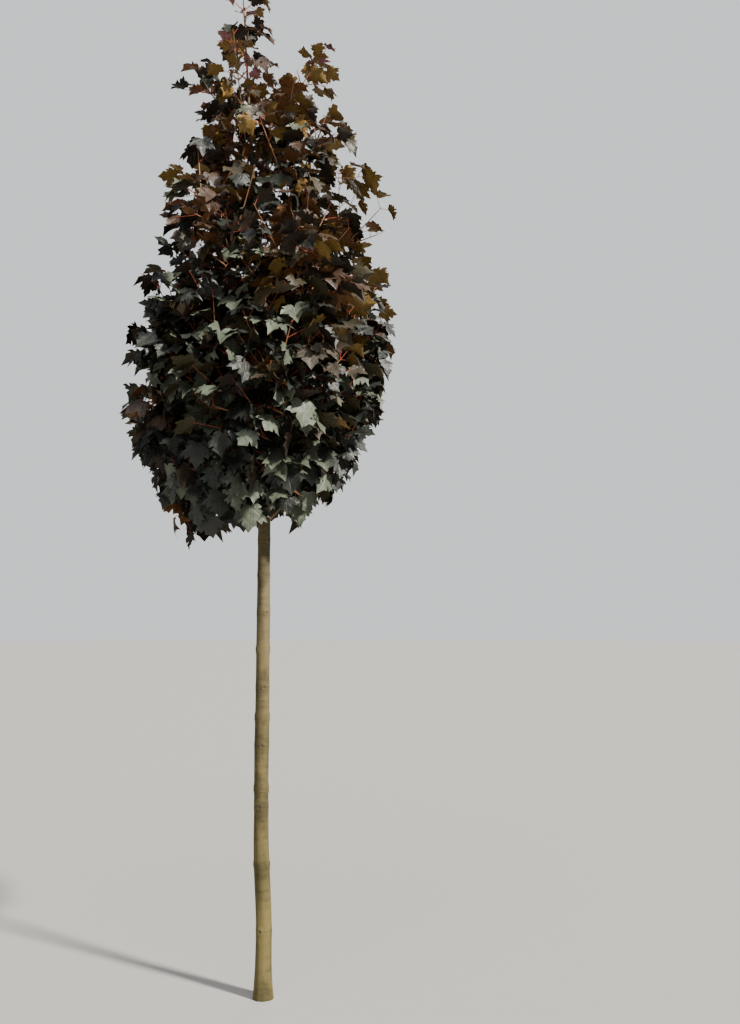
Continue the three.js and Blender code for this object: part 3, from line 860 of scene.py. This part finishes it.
def bent(number, more_fold):
    """The widths and heights of a number of blades, each bent its own way."""
    x, y = PLAN.T
    bend = {name: shape_draw.uniform(*ends, (number, 1)) for name, ends in BENDS.items()}
    folded = bend["fold"] * more_fold * from_veins(PLAN)
    curled = bend["curl"] * (x**2 + CURL_LENGTH * (y - CURL_FROM) ** 2)
    height = folded - curled + HALF_THICK
    height = height + bend["halves"] * np.abs(x) + bend["twist"] * x * y
    ruffle = shape_draw.normal(0, RUFFLE, (number, RIM_COUNT))
    dents = shape_draw.normal(0, DENT, (number, len(INNER)))
    height[:, 1:RIM_COUNT] += ruffle[:, 1:]
    height[:, RIM_COUNT:] += np.tile(dents, 2)
    return x * bend["widen"] * (1 - NARROWED * bend["halves"] ** 2), height


def leaf_points(chosen, more_fold):
    """The points of all chosen leaves, each on its own stalk."""

    def each(key):
        return np.array([leaf[key] for leaf in chosen])[:, None]

    width, height = bent(len(chosen), more_fold)
    blades = width[..., None] * each("side") + PLAN[:, 1:] * each("midrib")
    blades = blades + height[..., None] * each("normal")
    return each("foot") + each("length")[..., None] * blades


def blade_faces():
    """Top faces, then the underside's, which share the rim."""
    lower = {i: i + len(INNER) for i in range(RIM_COUNT, len(blade_flat))}
    under = [[lower.get(i, i) for i in face[::-1]] for face in blade_top]
    return np.array(blade_top + under)


print(len(PLAN), "points a leaf, veins reach", VEIN_TIPS.round(2).tolist())

# %% Make the leaf meshes
LEAF_EDGE = 70


def leaf_mesh(tint):
    chosen = [leaf for leaf in leaves if leaf["tint"] == tint]
    number = len(chosen)
    points = leaf_points(chosen, YOUNG_FOLD if tint == "young" else 1)
    one_leaf = blade_faces()
    faces = one_leaf + (np.arange(number) * len(PLAN))[:, None, None]
    mesh = bpy.data.meshes.new(f"leaves_{tint}")
    mesh.from_pydata((points.reshape(-1, 3) * MM).tolist(), [], faces.reshape(-1, 3).tolist())
    sides = np.repeat([0, 1], len(blade_top))
    mesh.polygons.foreach_set("material_index", np.tile(sides, number))
    layer = mesh.uv_layers.new(name="blade")
    corners = np.tile(PLAN[one_leaf.ravel()] / 2 + 0.5, (number, 1))
    layer.uv.foreach_set("vector", corners.ravel())
    piece = placed(f"leaves_{tint}", mesh)
    shaded(piece, LEAF_EDGE)
    return piece


leaf_pieces = {tint: leaf_mesh(tint) for tint in TINTS}

# %% [markdown]
# ## Stalks, twigs and boughs
#
# A stalk is thin and red and bends from its twig into the blade. Twigs and stems are tubes that taper
# and thicken a little at each node, where the old leaf pairs left their rings.

# %% Make the stalks
STALK_SHARES = (0, 0.35, 0.7, 1)
STALK_RADII = (1.5, 1.15, 1.0, 1.1)
STALK_SIDES = 4
STALK_EDGE = 60
STALK_KNEE = 0.62
INTO_BLADE = 2.5
UNDER_BLADE = 0.6


def stalk_tube(leaf):
    reach = np.linalg.norm(leaf["foot"] - leaf["node"])
    knee = leaf["node"] + leaf["way"] * STALK_KNEE * reach
    end = leaf["foot"] + leaf["midrib"] * INTO_BLADE - leaf["normal"] * UNDER_BLADE
    return tube(bezier(leaf["node"], knee, end), STALK_SHARES, STALK_RADII, STALK_SIDES)


stalk_piece = one_piece("leaf_stalks", map(stalk_tube, leaves), STALK_EDGE)

# %% Make the twigs
TWIG_SIDES = 6
TWIG_SHARES = np.linspace(0, 1, 7)
TWIG_RING = 0.14
TWIG_END = 0.55
BARK_EDGE = 50


def twig_tube(shoot):
    foot, tip = shoot["radii"]
    radii = [mix(foot, tip, share) * (1 + TWIG_RING * (i % 2)) for i, share in enumerate(TWIG_SHARES)]
    radii[-1] = tip * TWIG_END
    return tube(shoot["line"], TWIG_SHARES, radii, TWIG_SIDES)


shoots = twigs + short_twigs + side_shoots + spurs + gap_shoots
twig_piece = one_piece("twigs", map(twig_tube, shoots), BARK_EDGE)

# %% Make the boughs
BOUGH_SIDES = 10
BOUGH_SHARES = np.linspace(0, 1, 56)
STEM_TIP = 2.2
BOUGH_END = 1.0
COLLAR = 0.35
COLLAR_FADE = 0.024
NODE_RING = 0.7
NODE_WIDTH = 5


def hump(away, size, width):
    """A round swelling of this size, which fades out over this width."""
    return size * math.exp(-((away / width) ** 2))


def bough_radius(limb, share):
    """The bough's radius, with a collar at the trunk and a ring at every node."""
    bare = limb["bare"]
    radius = mix(limb["radius"] * BOUGH_TAPER, STEM_TIP, (share - bare) / (1 - bare))
    if share < bare:
        radius = max(radius, limb["radius"] * mix(1, BOUGH_TAPER, share / bare))
    radius *= 1 + COLLAR * math.exp(-share / COLLAR_FADE) * (bare > 0)
    for node in limb["nodes"]:
        away = (share - mix(bare, 1, node)) * limb["length"]
        radius += hump(away, NODE_RING, NODE_WIDTH)
    return radius


def bough_tube(limb):
    radii = [bough_radius(limb, share) for share in BOUGH_SHARES]
    radii[-1] = BOUGH_END
    return tube(limb["line"], BOUGH_SHARES, radii, BOUGH_SIDES)


bough_piece = one_piece("boughs", map(bough_tube, limbs), BARK_EDGE)

# %% [markdown]
# ## The trunk
#
# The trunk is one long form, so it is shaped as by hand: a cylinder is added, its long edges are cut
# into rings, and the rings are moved onto the stem's line. Old side shoots were pruned off in pairs on
# the way up. Each pair left a low swelling right round the stem with a dark ring and two healed scars,
# and they are real relief, since a bump would vanish from the outline.

# %% Cut a cylinder into rings
TRUNK_SIDES = 56
START_RADIUS = 0.03
START_HEIGHT = 3.96
RING_CUTS = (24, 24)
UPRIGHT = 1e-4

bpy.ops.mesh.primitive_cylinder_add(
    vertices=TRUNK_SIDES,
    radius=START_RADIUS,
    depth=START_HEIGHT,
    location=(0, 0, START_HEIGHT / 2),
)
trunk_piece = bpy.context.active_object
trunk_piece.name = "trunk_bark"
bpy.ops.object.mode_set(mode="EDIT")
bpy.ops.mesh.select_mode(type="EDGE")
bpy.ops.mesh.select_all(action="DESELECT")
bpy.ops.object.mode_set(mode="OBJECT")
for cuts in RING_CUTS:
    for edge in trunk_piece.data.edges:
        low, high = (trunk_piece.data.vertices[i].co for i in edge.vertices)
        edge.select = abs(low.z - high.z) > UPRIGHT
    bpy.ops.object.mode_set(mode="EDIT")
    bpy.ops.mesh.subdivide(number_cuts=cuts)
    bpy.ops.mesh.select_all(action="DESELECT")
    bpy.ops.object.mode_set(mode="OBJECT")
bpy.ops.object.transform_apply(location=True)
print("trunk has", len(trunk_piece.data.vertices), "points")

# %% Measure from the old scars
SCAR_HEIGHTS = (275, 546, 786, 860, 1043, 1161, 1289, 1452, 1610, 1775, 1930)
SCAR_START = 1.15
SCAR_TURN = 1.7
SCAR_TALL = 0.8
SCAR_WIDTH = 6.5
SCAR_REACH = 70
RING_WAVE = 3
RING_WIDTH = 3.0
RING_DARK = 0.3
RING_TURN = 2.1


def near_scars(angle, height):
    """Each near pair of scars: its number, and how far its height, its ring and both scars are."""
    for i, scar in enumerate(SCAR_HEIGHTS):
        away = height - scar
        if abs(away) > SCAR_REACH:
            continue
        spreads = []
        for turn in (0, math.pi):
            turned = math.remainder(angle - SCAR_START - SCAR_TURN * i - turn, math.tau)
            spreads.append(math.hypot(turned * trunk_radius(scar), away * SCAR_TALL))
        yield i, away, away - RING_WAVE * math.cos(angle + i), spreads


def scar_mark(angle, height):
    """How dark the bark is where a pair of shoots was pruned off, from 0 to 1."""
    mark = 0.0
    for i, _, from_ring, spreads in near_scars(angle, height):
        part_way = RING_DARK + RING_DARK * math.cos(angle - RING_TURN * i)
        mark = max(mark, hump(from_ring, part_way, RING_WIDTH))
        mark = max(mark, *[math.exp(-((spread / SCAR_WIDTH) ** 4)) for spread in spreads])
    return mark


print(len(SCAR_HEIGHTS), "pairs of scars up to", max(SCAR_HEIGHTS), "mm")

# %% Add up the bark's relief
SWELLING = (1.3, 20)
RING_GROOVE = 0.5
SCAR_LIP = (1.9, 4.5)
LIP_RADIUS = 9
SCAR_HOLLOW = (1.2, 5)
WAVE_DEPTH = 0.34
FLARE_DEPTH = 4
FLARE_FADE = 50
FLARE_LOBES = 0.4
FLARE_TURN = 0.8
FLUTE_DEPTH = 0.5
FLUTE_TWIST = 160
FLUTE_FADE = 260
FLUTES = 9
WAVE_COUNTS = (1, 2, 2, 3, 4, 5)
WAVE_PHASES = (0, 6.28)
WAVE_PITCHES = (260, 900)
relief_draw = np.random.default_rng(8)
WAVES = [(k, relief_draw.uniform(*WAVE_PHASES), relief_draw.uniform(*WAVE_PITCHES)) for k in WAVE_COUNTS]


def relief(angle, height):
    """How far the bark stands out, in millimetres."""
    out = 0.0
    for k, phase, pitch in WAVES:
        out += WAVE_DEPTH * math.cos(k * angle + phase + height / pitch * math.tau)
    for _, away, from_ring, spreads in near_scars(angle, height):
        out += hump(away, *SWELLING)
        out -= hump(from_ring, RING_GROOVE, RING_WIDTH)
        for spread in spreads:
            out += hump(spread - LIP_RADIUS, *SCAR_LIP) - hump(spread, *SCAR_HOLLOW)
    flare = FLARE_DEPTH * math.exp(-height / FLARE_FADE)
    out += flare * (1 + FLARE_LOBES * math.cos(3 * angle + FLARE_TURN))
    flutes = FLUTE_DEPTH * math.cos(FLUTES * angle + height / FLUTE_TWIST)
    return out + flutes * math.exp(-height / FLUTE_FADE)


print("relief at the ground, in front:", round(relief(-math.pi / 2, 0), 1), "mm")

# %% Move the rings onto the stem
LOW_SHARE = 0.8
VISIBLE_TOP = 2150
OVER_TOP = 14
REACH_ALONG = 10


def ring_height(share):
    """Most rings go to the clear stem, where the bark shows."""
    if share < LOW_SHARE:
        return VISIBLE_TOP * share / LOW_SHARE
    return mix(VISIBLE_TOP, TRUNK_TOP + OVER_TOP, (share - LOW_SHARE) / (1 - LOW_SHARE))


def stem_heading(height):
    if height < 1:
        return UP
    return unit(trunk_point(height + REACH_ALONG) - trunk_point(height - REACH_ALONG))


def shape_trunk(mesh):
    marks = mesh.attributes.new("scar", "FLOAT", "POINT")
    for vertex in mesh.vertices:
        x, y, z = vertex.co
        height = ring_height(z / START_HEIGHT)
        angle = math.atan2(y, x)
        heading = stem_heading(height)
        side = unit(np.cross(np.array((0.0, 1.0, 0.0)), heading))
        other = np.cross(heading, side)
        radius = trunk_radius(height) + (relief(angle, height) if height < TRUNK_TOP else 0)
        radius *= math.hypot(x, y) / START_RADIUS
        point = trunk_point(height) + radius * (math.cos(angle) * side + math.sin(angle) * other)
        vertex.co = point * MM
        marks.data[vertex.index].value = scar_mark(angle, height)


shape_trunk(trunk_piece.data)
shaded(trunk_piece, BARK_EDGE)
low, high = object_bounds()
print("trunk shaped, whole model from", rounded(low), "to", rounded(high))

# %% [markdown]
# ## Shared effects: bark and leaf surface
#
# Bark and young wood share one effect: blotches, fine rings across the stem and short pale pores, the
# lenticels. It is built once as a node group and placed in each bark with its own colours. Leaves
# share another: veins that are a little paler and lie low, a faint mottle and small puckers.

# %% Helpers for node groups
def new_group(name, colours, numbers=()):
    """A group with these inputs, which puts out a colour, a roughness and a height."""
    group = bpy.data.node_groups.new(name, "ShaderNodeTree")
    for way, label, kind in (
        *[("INPUT", label, "Color") for label in colours],
        *[("INPUT", label, "Float") for label in numbers],
        ("OUTPUT", "Color", "Color"),
        ("OUTPUT", "Roughness", "Float"),
        ("OUTPUT", "Height", "Float"),
    ):
        group.interface.new_socket(label, in_out=way, socket_type="NodeSocket" + kind)
    return group, group.nodes.new("NodeGroupInput"), group.nodes.new("NodeGroupOutput")


def feed(tree, node, sources):
    """Link each socket of a node to its source, or set it to a plain value."""
    for label, source in sources.items():
        if isinstance(source, (int, float, tuple)):
            node.inputs[label].default_value = source
        else:
            tree.links.new(source, node.inputs[label])


def added(tree, kind, sources=None, **settings):
    """A new node, with its settings made and its sockets fed."""
    made = tree.nodes.new(kind)
    for label, setting in settings.items():
        setattr(made, label, setting)
    feed(tree, made, sources or {})
    return made


def math_node(tree, operation, *sources):
    sources = dict(enumerate(sources))
    return added(tree, "ShaderNodeMath", sources, operation=operation).outputs[0]


def blend_colours(tree, share, first, second):
    sources = {0: share, 6: first, 7: second}
    return added(tree, "ShaderNodeMix", sources, data_type="RGBA").outputs[2]


def stretched(tree, position, stretch):
    return added(tree, "ShaderNodeMapping", {"Vector": position, "Scale": stretch}).outputs[0]


def noise(tree, position, scale, detail, stretch=(1, 1, 1)):
    sources = {"Vector": stretched(tree, position, stretch), "Scale": scale, "Detail": detail}
    return added(tree, "ShaderNodeTexNoise", sources).outputs["Fac"]


def steps(tree, value, low, high):
    """A value mapped from low..high to 0..1, with soft ends."""
    sources = {"Value": value, "From Min": low, "From Max": high}
    return added(tree, "ShaderNodeMapRange", sources, interpolation_type="SMOOTHSTEP").outputs[0]


def object_place(tree):
    return added(tree, "ShaderNodeTexCoord").outputs["Object"]


print("node helpers ready")

# %% Bark as a node group
BLOTCH_SHADE = 0.65
BAND_SHADE = 0.2
GRAIN_SHADE = 0.35
PORE_PALENESS = 0.6
BARK_ROUGH = 0.58
GRAIN_ROUGH = 0.25
BAND_HEIGHT = 0.5
GRAIN_HEIGHT = 0.35
PORE_HEIGHT = 0.5


def make_bark_group():
    group, given, out = new_group("maple bark", ("Light", "Dark", "Pore"))
    maths = partial(math_node, group)
    position = object_place(group)
    blotch = noise(group, position, scale=9, detail=4, stretch=(1, 1, 0.5))
    blotch = steps(group, blotch, low=0.36, high=0.66)
    bands = noise(group, position, scale=12, detail=4, stretch=(1, 1, 6))
    grain = noise(group, position, scale=90, detail=3, stretch=(1, 1, 3.5))
    shade = maths("MULTIPLY", steps(group, bands, low=0.4, high=0.75), BAND_SHADE)
    shade = maths("MULTIPLY_ADD", blotch, BLOTCH_SHADE, shade)
    shade = maths("MULTIPLY_ADD", grain, GRAIN_SHADE, shade)
    shade = steps(group, shade, low=0.15, high=1.05)
    base = blend_colours(group, shade, given.outputs["Light"], given.outputs["Dark"])
    grid = {"Vector": stretched(group, position, (1, 1, 2.6)), "Scale": 95}
    pores = added(group, "ShaderNodeTexVoronoi", grid)
    pore = steps(group, pores.outputs["Distance"], low=0.12, high=0.24)
    pore = maths("SUBTRACT", 1.0, pore)
    rare = steps(group, noise(group, position, scale=40, detail=1), low=0.5, high=0.6)
    pore = maths("MULTIPLY", pore, rare)
    paler = maths("MULTIPLY", pore, PORE_PALENESS)
    colour = blend_colours(group, paler, base, given.outputs["Pore"])
    rough = maths("MULTIPLY_ADD", grain, GRAIN_ROUGH, BARK_ROUGH)
    height = maths("MULTIPLY", grain, GRAIN_HEIGHT)
    height = maths("MULTIPLY_ADD", bands, BAND_HEIGHT, height)
    height = maths("MULTIPLY_ADD", pore, PORE_HEIGHT, height)
    feed(group, out, {"Color": colour, "Roughness": rough, "Height": height})
    return group


bark_group = make_bark_group()
print("bark group has", len(bark_group.nodes), "nodes")

# %% Leaf surface as a node group
LEAF_BRIGHT = 0.55
MOTTLE_BRIGHT = 0.9
LEAF_ROUGH = 0.4
MOTTLE_ROUGH = 0.2
MOTTLE_HEIGHT = 1.4
PUCKER_HEIGHT = 0.6
VEIN_HEIGHT = -0.2


def make_leaf_group():
    group, given, out = new_group("maple leaf surface", ("Blade", "Vein"), ("Vein Share",))
    maths = partial(math_node, group)
    plan = added(group, "ShaderNodeUVMap", uv_map="blade")
    parts = added(group, "ShaderNodeSeparateXYZ", {0: plan.outputs[0]})
    x = maths("ABSOLUTE", maths("MULTIPLY_ADD", parts.outputs["X"], 2.0, -1.0))
    y = maths("MULTIPLY_ADD", parts.outputs["Y"], 2.0, -1.0)
    nearest = x
    for tip_x, tip_y in VEIN_TIPS[1:3]:
        long = math.hypot(tip_x, tip_y)
        away = maths("MULTIPLY", x, tip_y / long)
        away = maths("MULTIPLY_ADD", y, -tip_x / long, away)
        nearest = maths("MINIMUM", nearest, maths("ABSOLUTE", away))
    vein = maths("SUBTRACT", 1.0, steps(group, nearest, low=0.004, high=0.03))
    position = object_place(group)
    mottle = noise(group, position, scale=26, detail=4)
    pucker = noise(group, position, scale=75, detail=2)
    share = maths("MULTIPLY", vein, given.outputs["Vein Share"])
    bright = maths("MULTIPLY_ADD", mottle, MOTTLE_BRIGHT, LEAF_BRIGHT)
    sources = {"Color": given.outputs["Blade"], "Value": bright}
    blade = added(group, "ShaderNodeHueSaturation", sources)
    colour = blend_colours(group, share, blade.outputs[0], given.outputs["Vein"])
    rough = maths("MULTIPLY_ADD", mottle, MOTTLE_ROUGH, LEAF_ROUGH)
    height = maths("MULTIPLY", mottle, MOTTLE_HEIGHT)
    height = maths("MULTIPLY_ADD", pucker, PUCKER_HEIGHT, height)
    height = maths("MULTIPLY_ADD", vein, VEIN_HEIGHT, height)
    feed(group, out, {"Color": colour, "Roughness": rough, "Height": height})
    return group


leaf_group = make_leaf_group()
print("leaf group has", len(leaf_group.nodes), "nodes")

# %% [markdown]
# ## Finishes
#
# Each finish sets the group's colours and the shader's own gloss. The barks are rough. The tops of
# the leaves have a slight waxy sheen, and the undersides are duller and warmer. The sage-grey tops
# are a painted sheen of sunlight, and the light bronze and rust undersides are their own colour with
# painted sunlight shining through. The trunk's bark goes from olive at the foot to a greyer brown
# higher up, with a dark mark at each scar.

# %% Make a finish from an effect
def finish(name, group, colours, gloss, bump, distance):
    material = bpy.data.materials.new(name)
    material.use_nodes = True
    tree = material.node_tree
    effect = added(tree, "ShaderNodeGroup", colours, node_tree=group)
    sources = {"Strength": bump, "Distance": distance, "Height": effect.outputs["Height"]}
    bumps = added(tree, "ShaderNodeBump", sources)
    shader = tree.nodes["Principled BSDF"]
    colour, rough = effect.outputs["Color"], effect.outputs["Roughness"]
    feed(tree, shader, {"Base Color": colour, "Roughness": rough, "Normal": bumps.outputs[0]})
    shader.inputs["Specular IOR Level"].default_value = gloss
    return material


def bark(name, light, dark, pore, bump):
    colours = {"Light": (*light, 1), "Dark": (*dark, 1), "Pore": (*pore, 1)}
    return finish(name, bark_group, colours, gloss=0.3, bump=bump, distance=0.0012)


def leaf_face(name, blade, vein, share, gloss):
    colours = {"Blade": (*blade, 1), "Vein": (*vein, 1), "Vein Share": share}
    return finish(name, leaf_group, colours, gloss, bump=0.6, distance=0.006)


print("finishes come from", bark_group.name, "and", leaf_group.name)

# %% Finish the trunk
TRUNK_LIGHT = ((0.135, 0.108, 0.036), (0.138, 0.108, 0.05))
TRUNK_DARK = ((0.045, 0.037, 0.012), (0.05, 0.039, 0.018))
TRUNK_PORE = (0.27, 0.24, 0.165)
SCAR_COLOUR = (0.03, 0.024, 0.014)
SCAR_SHARE = 0.7


def trunk_finish():
    """Bark that turns from olive at the foot to a greyer brown, darker at the scars."""
    material = bark("trunk bark", TRUNK_LIGHT[0], TRUNK_DARK[0], TRUNK_PORE, bump=0.5)
    tree = material.node_tree
    effect = next(item for item in tree.nodes if item.type == "GROUP")
    parts = added(tree, "ShaderNodeSeparateXYZ", {0: object_place(tree)})
    climb = steps(tree, parts.outputs["Z"], low=0.3, high=1.9)
    for label, (foot, top) in (("Light", TRUNK_LIGHT), ("Dark", TRUNK_DARK)):
        feed(tree, effect, {label: blend_colours(tree, climb, (*foot, 1), (*top, 1))})
    scar = added(tree, "ShaderNodeAttribute", attribute_name="scar")
    share = math_node(tree, "MULTIPLY", scar.outputs["Fac"], SCAR_SHARE)
    colour = blend_colours(tree, share, effect.outputs["Color"], (*SCAR_COLOUR, 1))
    feed(tree, tree.nodes["Principled BSDF"], {"Base Color": colour})
    return material


trunk_piece.data.materials.append(trunk_finish())
print("trunk is finished in", trunk_piece.data.materials[0].name)

# %% Finish the boughs, twigs and stalks
BARK_FINISHES = (
    (bough_piece, "bough bark", (0.2, 0.14, 0.085), (0.09, 0.062, 0.038), (0.32, 0.25, 0.17), 0.35),
    (twig_piece, "twig bark", (0.3, 0.16, 0.08), (0.15, 0.07, 0.035), (0.4, 0.26, 0.16), 0.2),
    (stalk_piece, "stalk skin", (0.34, 0.07, 0.04), (0.2, 0.04, 0.025), (0.4, 0.12, 0.07), 0.1),
)
for piece, *look in BARK_FINISHES:
    piece.data.materials.append(bark(*look))
    print(piece.name, "is finished in", piece.data.materials[0].name)

# %% Finish the leaves
WAXY = 0.42
DULL = 0.2
TOP_VEINS = 0.35
UNDER_VEINS = 0.5
LEAF_COLOURS = {
    # Near-black: the leaf's dark colour, darkened as painted shade.
    "shade": ((0.015, 0.018, 0.014), (0.028, 0.028, 0.022), (0.022, 0.016, 0.011), (0.05, 0.024, 0.018)),
    # Sage-grey top: a painted sheen of sunlight on the dark leaf.
    "green": ((0.078, 0.092, 0.064), (0.1, 0.115, 0.08), (0.038, 0.032, 0.016), (0.08, 0.05, 0.022)),
    # Bronze and rust: light undersides are their own bronze colour with painted sunlight shining
    # through.
    "bronze": ((0.038, 0.03, 0.018), (0.065, 0.05, 0.028), (0.165, 0.1, 0.026), (0.21, 0.13, 0.038)),
    "rust": ((0.04, 0.021, 0.011), (0.065, 0.032, 0.018), (0.14, 0.062, 0.023), (0.19, 0.088, 0.034)),
    "young": ((0.1, 0.042, 0.045), (0.16, 0.068, 0.068), (0.2, 0.085, 0.088), (0.28, 0.12, 0.12)),
}
for tint, (top, top_vein, under, under_vein) in LEAF_COLOURS.items():
    finishes = leaf_pieces[tint].data.materials
    finishes.append(leaf_face(f"{tint} leaf top", top, top_vein, TOP_VEINS, WAXY))
    finishes.append(leaf_face(f"{tint} leaf underside", under, under_vein, UNDER_VEINS, DULL))
print(len(bpy.data.materials), "materials")

# %% [markdown]
# ## What stands for what
#
# Each piece hides the solids that it stands for, and rides on the part's one body. Leaves, stalks and
# twigs all stand for the masses of foliage, and so do the boughs, whose stems run on inside them.

# %% Replace the solids
masses = [f"foliage_{limb['name']}" for limb in limbs]
bare_boughs = [f"bough_{limb['name']}" for limb in limbs if limb["bare"]]
for piece in (*leaf_pieces.values(), stalk_piece):
    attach(piece, "root")
    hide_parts(*masses)
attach(twig_piece, "root")
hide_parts(*masses)
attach(bough_piece, "root")
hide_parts(*bare_boughs, *masses)
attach(trunk_piece, "root")
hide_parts("trunk")

# %% [markdown]
# ## Floor and light
#
# A plain pale floor runs out to the horizon and meets a pale world. The key light stands at the front
# right, as the sun does in the photograph. A wide light from the front is the open sky, and a weak one
# comes from behind. All are far off, so the floor is as bright everywhere. The world looks bright but
# gives little light, so that the hollows of the head stay dark.

# %% Floor
FLOOR_RADIUS = 60
FLOOR_COLOUR = (0.33, 0.325, 0.315, 1)

bpy.ops.mesh.primitive_circle_add(
    vertices=128,
    radius=FLOOR_RADIUS,
    fill_type="NGON",
    location=(0, 0, 0),
)
floor = bpy.context.active_object
floor.name = "floor"
floor_paint = bpy.data.materials.new("floor paint")
floor_paint.use_nodes = True
paint = floor_paint.node_tree
feed(paint, paint.nodes["Principled BSDF"], {"Base Color": FLOOR_COLOUR, "Roughness": 0.9})
floor.data.materials.append(floor_paint)
print("floor reaches", FLOOR_RADIUS, "m")

# %% World
WORLD_COLOUR = (0.86, 0.88, 0.9, 1)
SEEN_STRENGTH = 1.05
LIGHT_STRENGTH = 0.22

world = bpy.data.worlds.new("studio")
bpy.context.scene.world = world
world.use_nodes = True
air = world.node_tree
seen = added(air, "ShaderNodeLightPath").outputs["Is Camera Ray"]
sources = {"Value": seen, "To Min": LIGHT_STRENGTH, "To Max": SEEN_STRENGTH}
strength = added(air, "ShaderNodeMapRange", sources)
feed(air, air.nodes["Background"], {"Color": WORLD_COLOUR, "Strength": strength.outputs[0]})
print("world is seen at", SEEN_STRENGTH, "and lights at", LIGHT_STRENGTH)

# %% Lights
def soft_sun(name, tilt, turn, strength, spread, colour):
    data = bpy.data.lights.new(name, "SUN")
    data.energy = strength
    data.angle = math.radians(spread)
    data.color = colour
    placed(name, data).rotation_euler = (math.radians(tilt), 0, math.radians(turn))


soft_sun("key", tilt=48, turn=55, strength=9.8, spread=5, colour=(1.0, 0.95, 0.86))
soft_sun("sky", tilt=35, turn=0, strength=1.6, spread=50, colour=(0.97, 0.98, 1.0))
soft_sun("back", tilt=55, turn=165, strength=0.9, spread=40, colour=(1.0, 0.96, 0.9))

# %% Finish
bpy.ops.object.select_all(action="DESELECT")
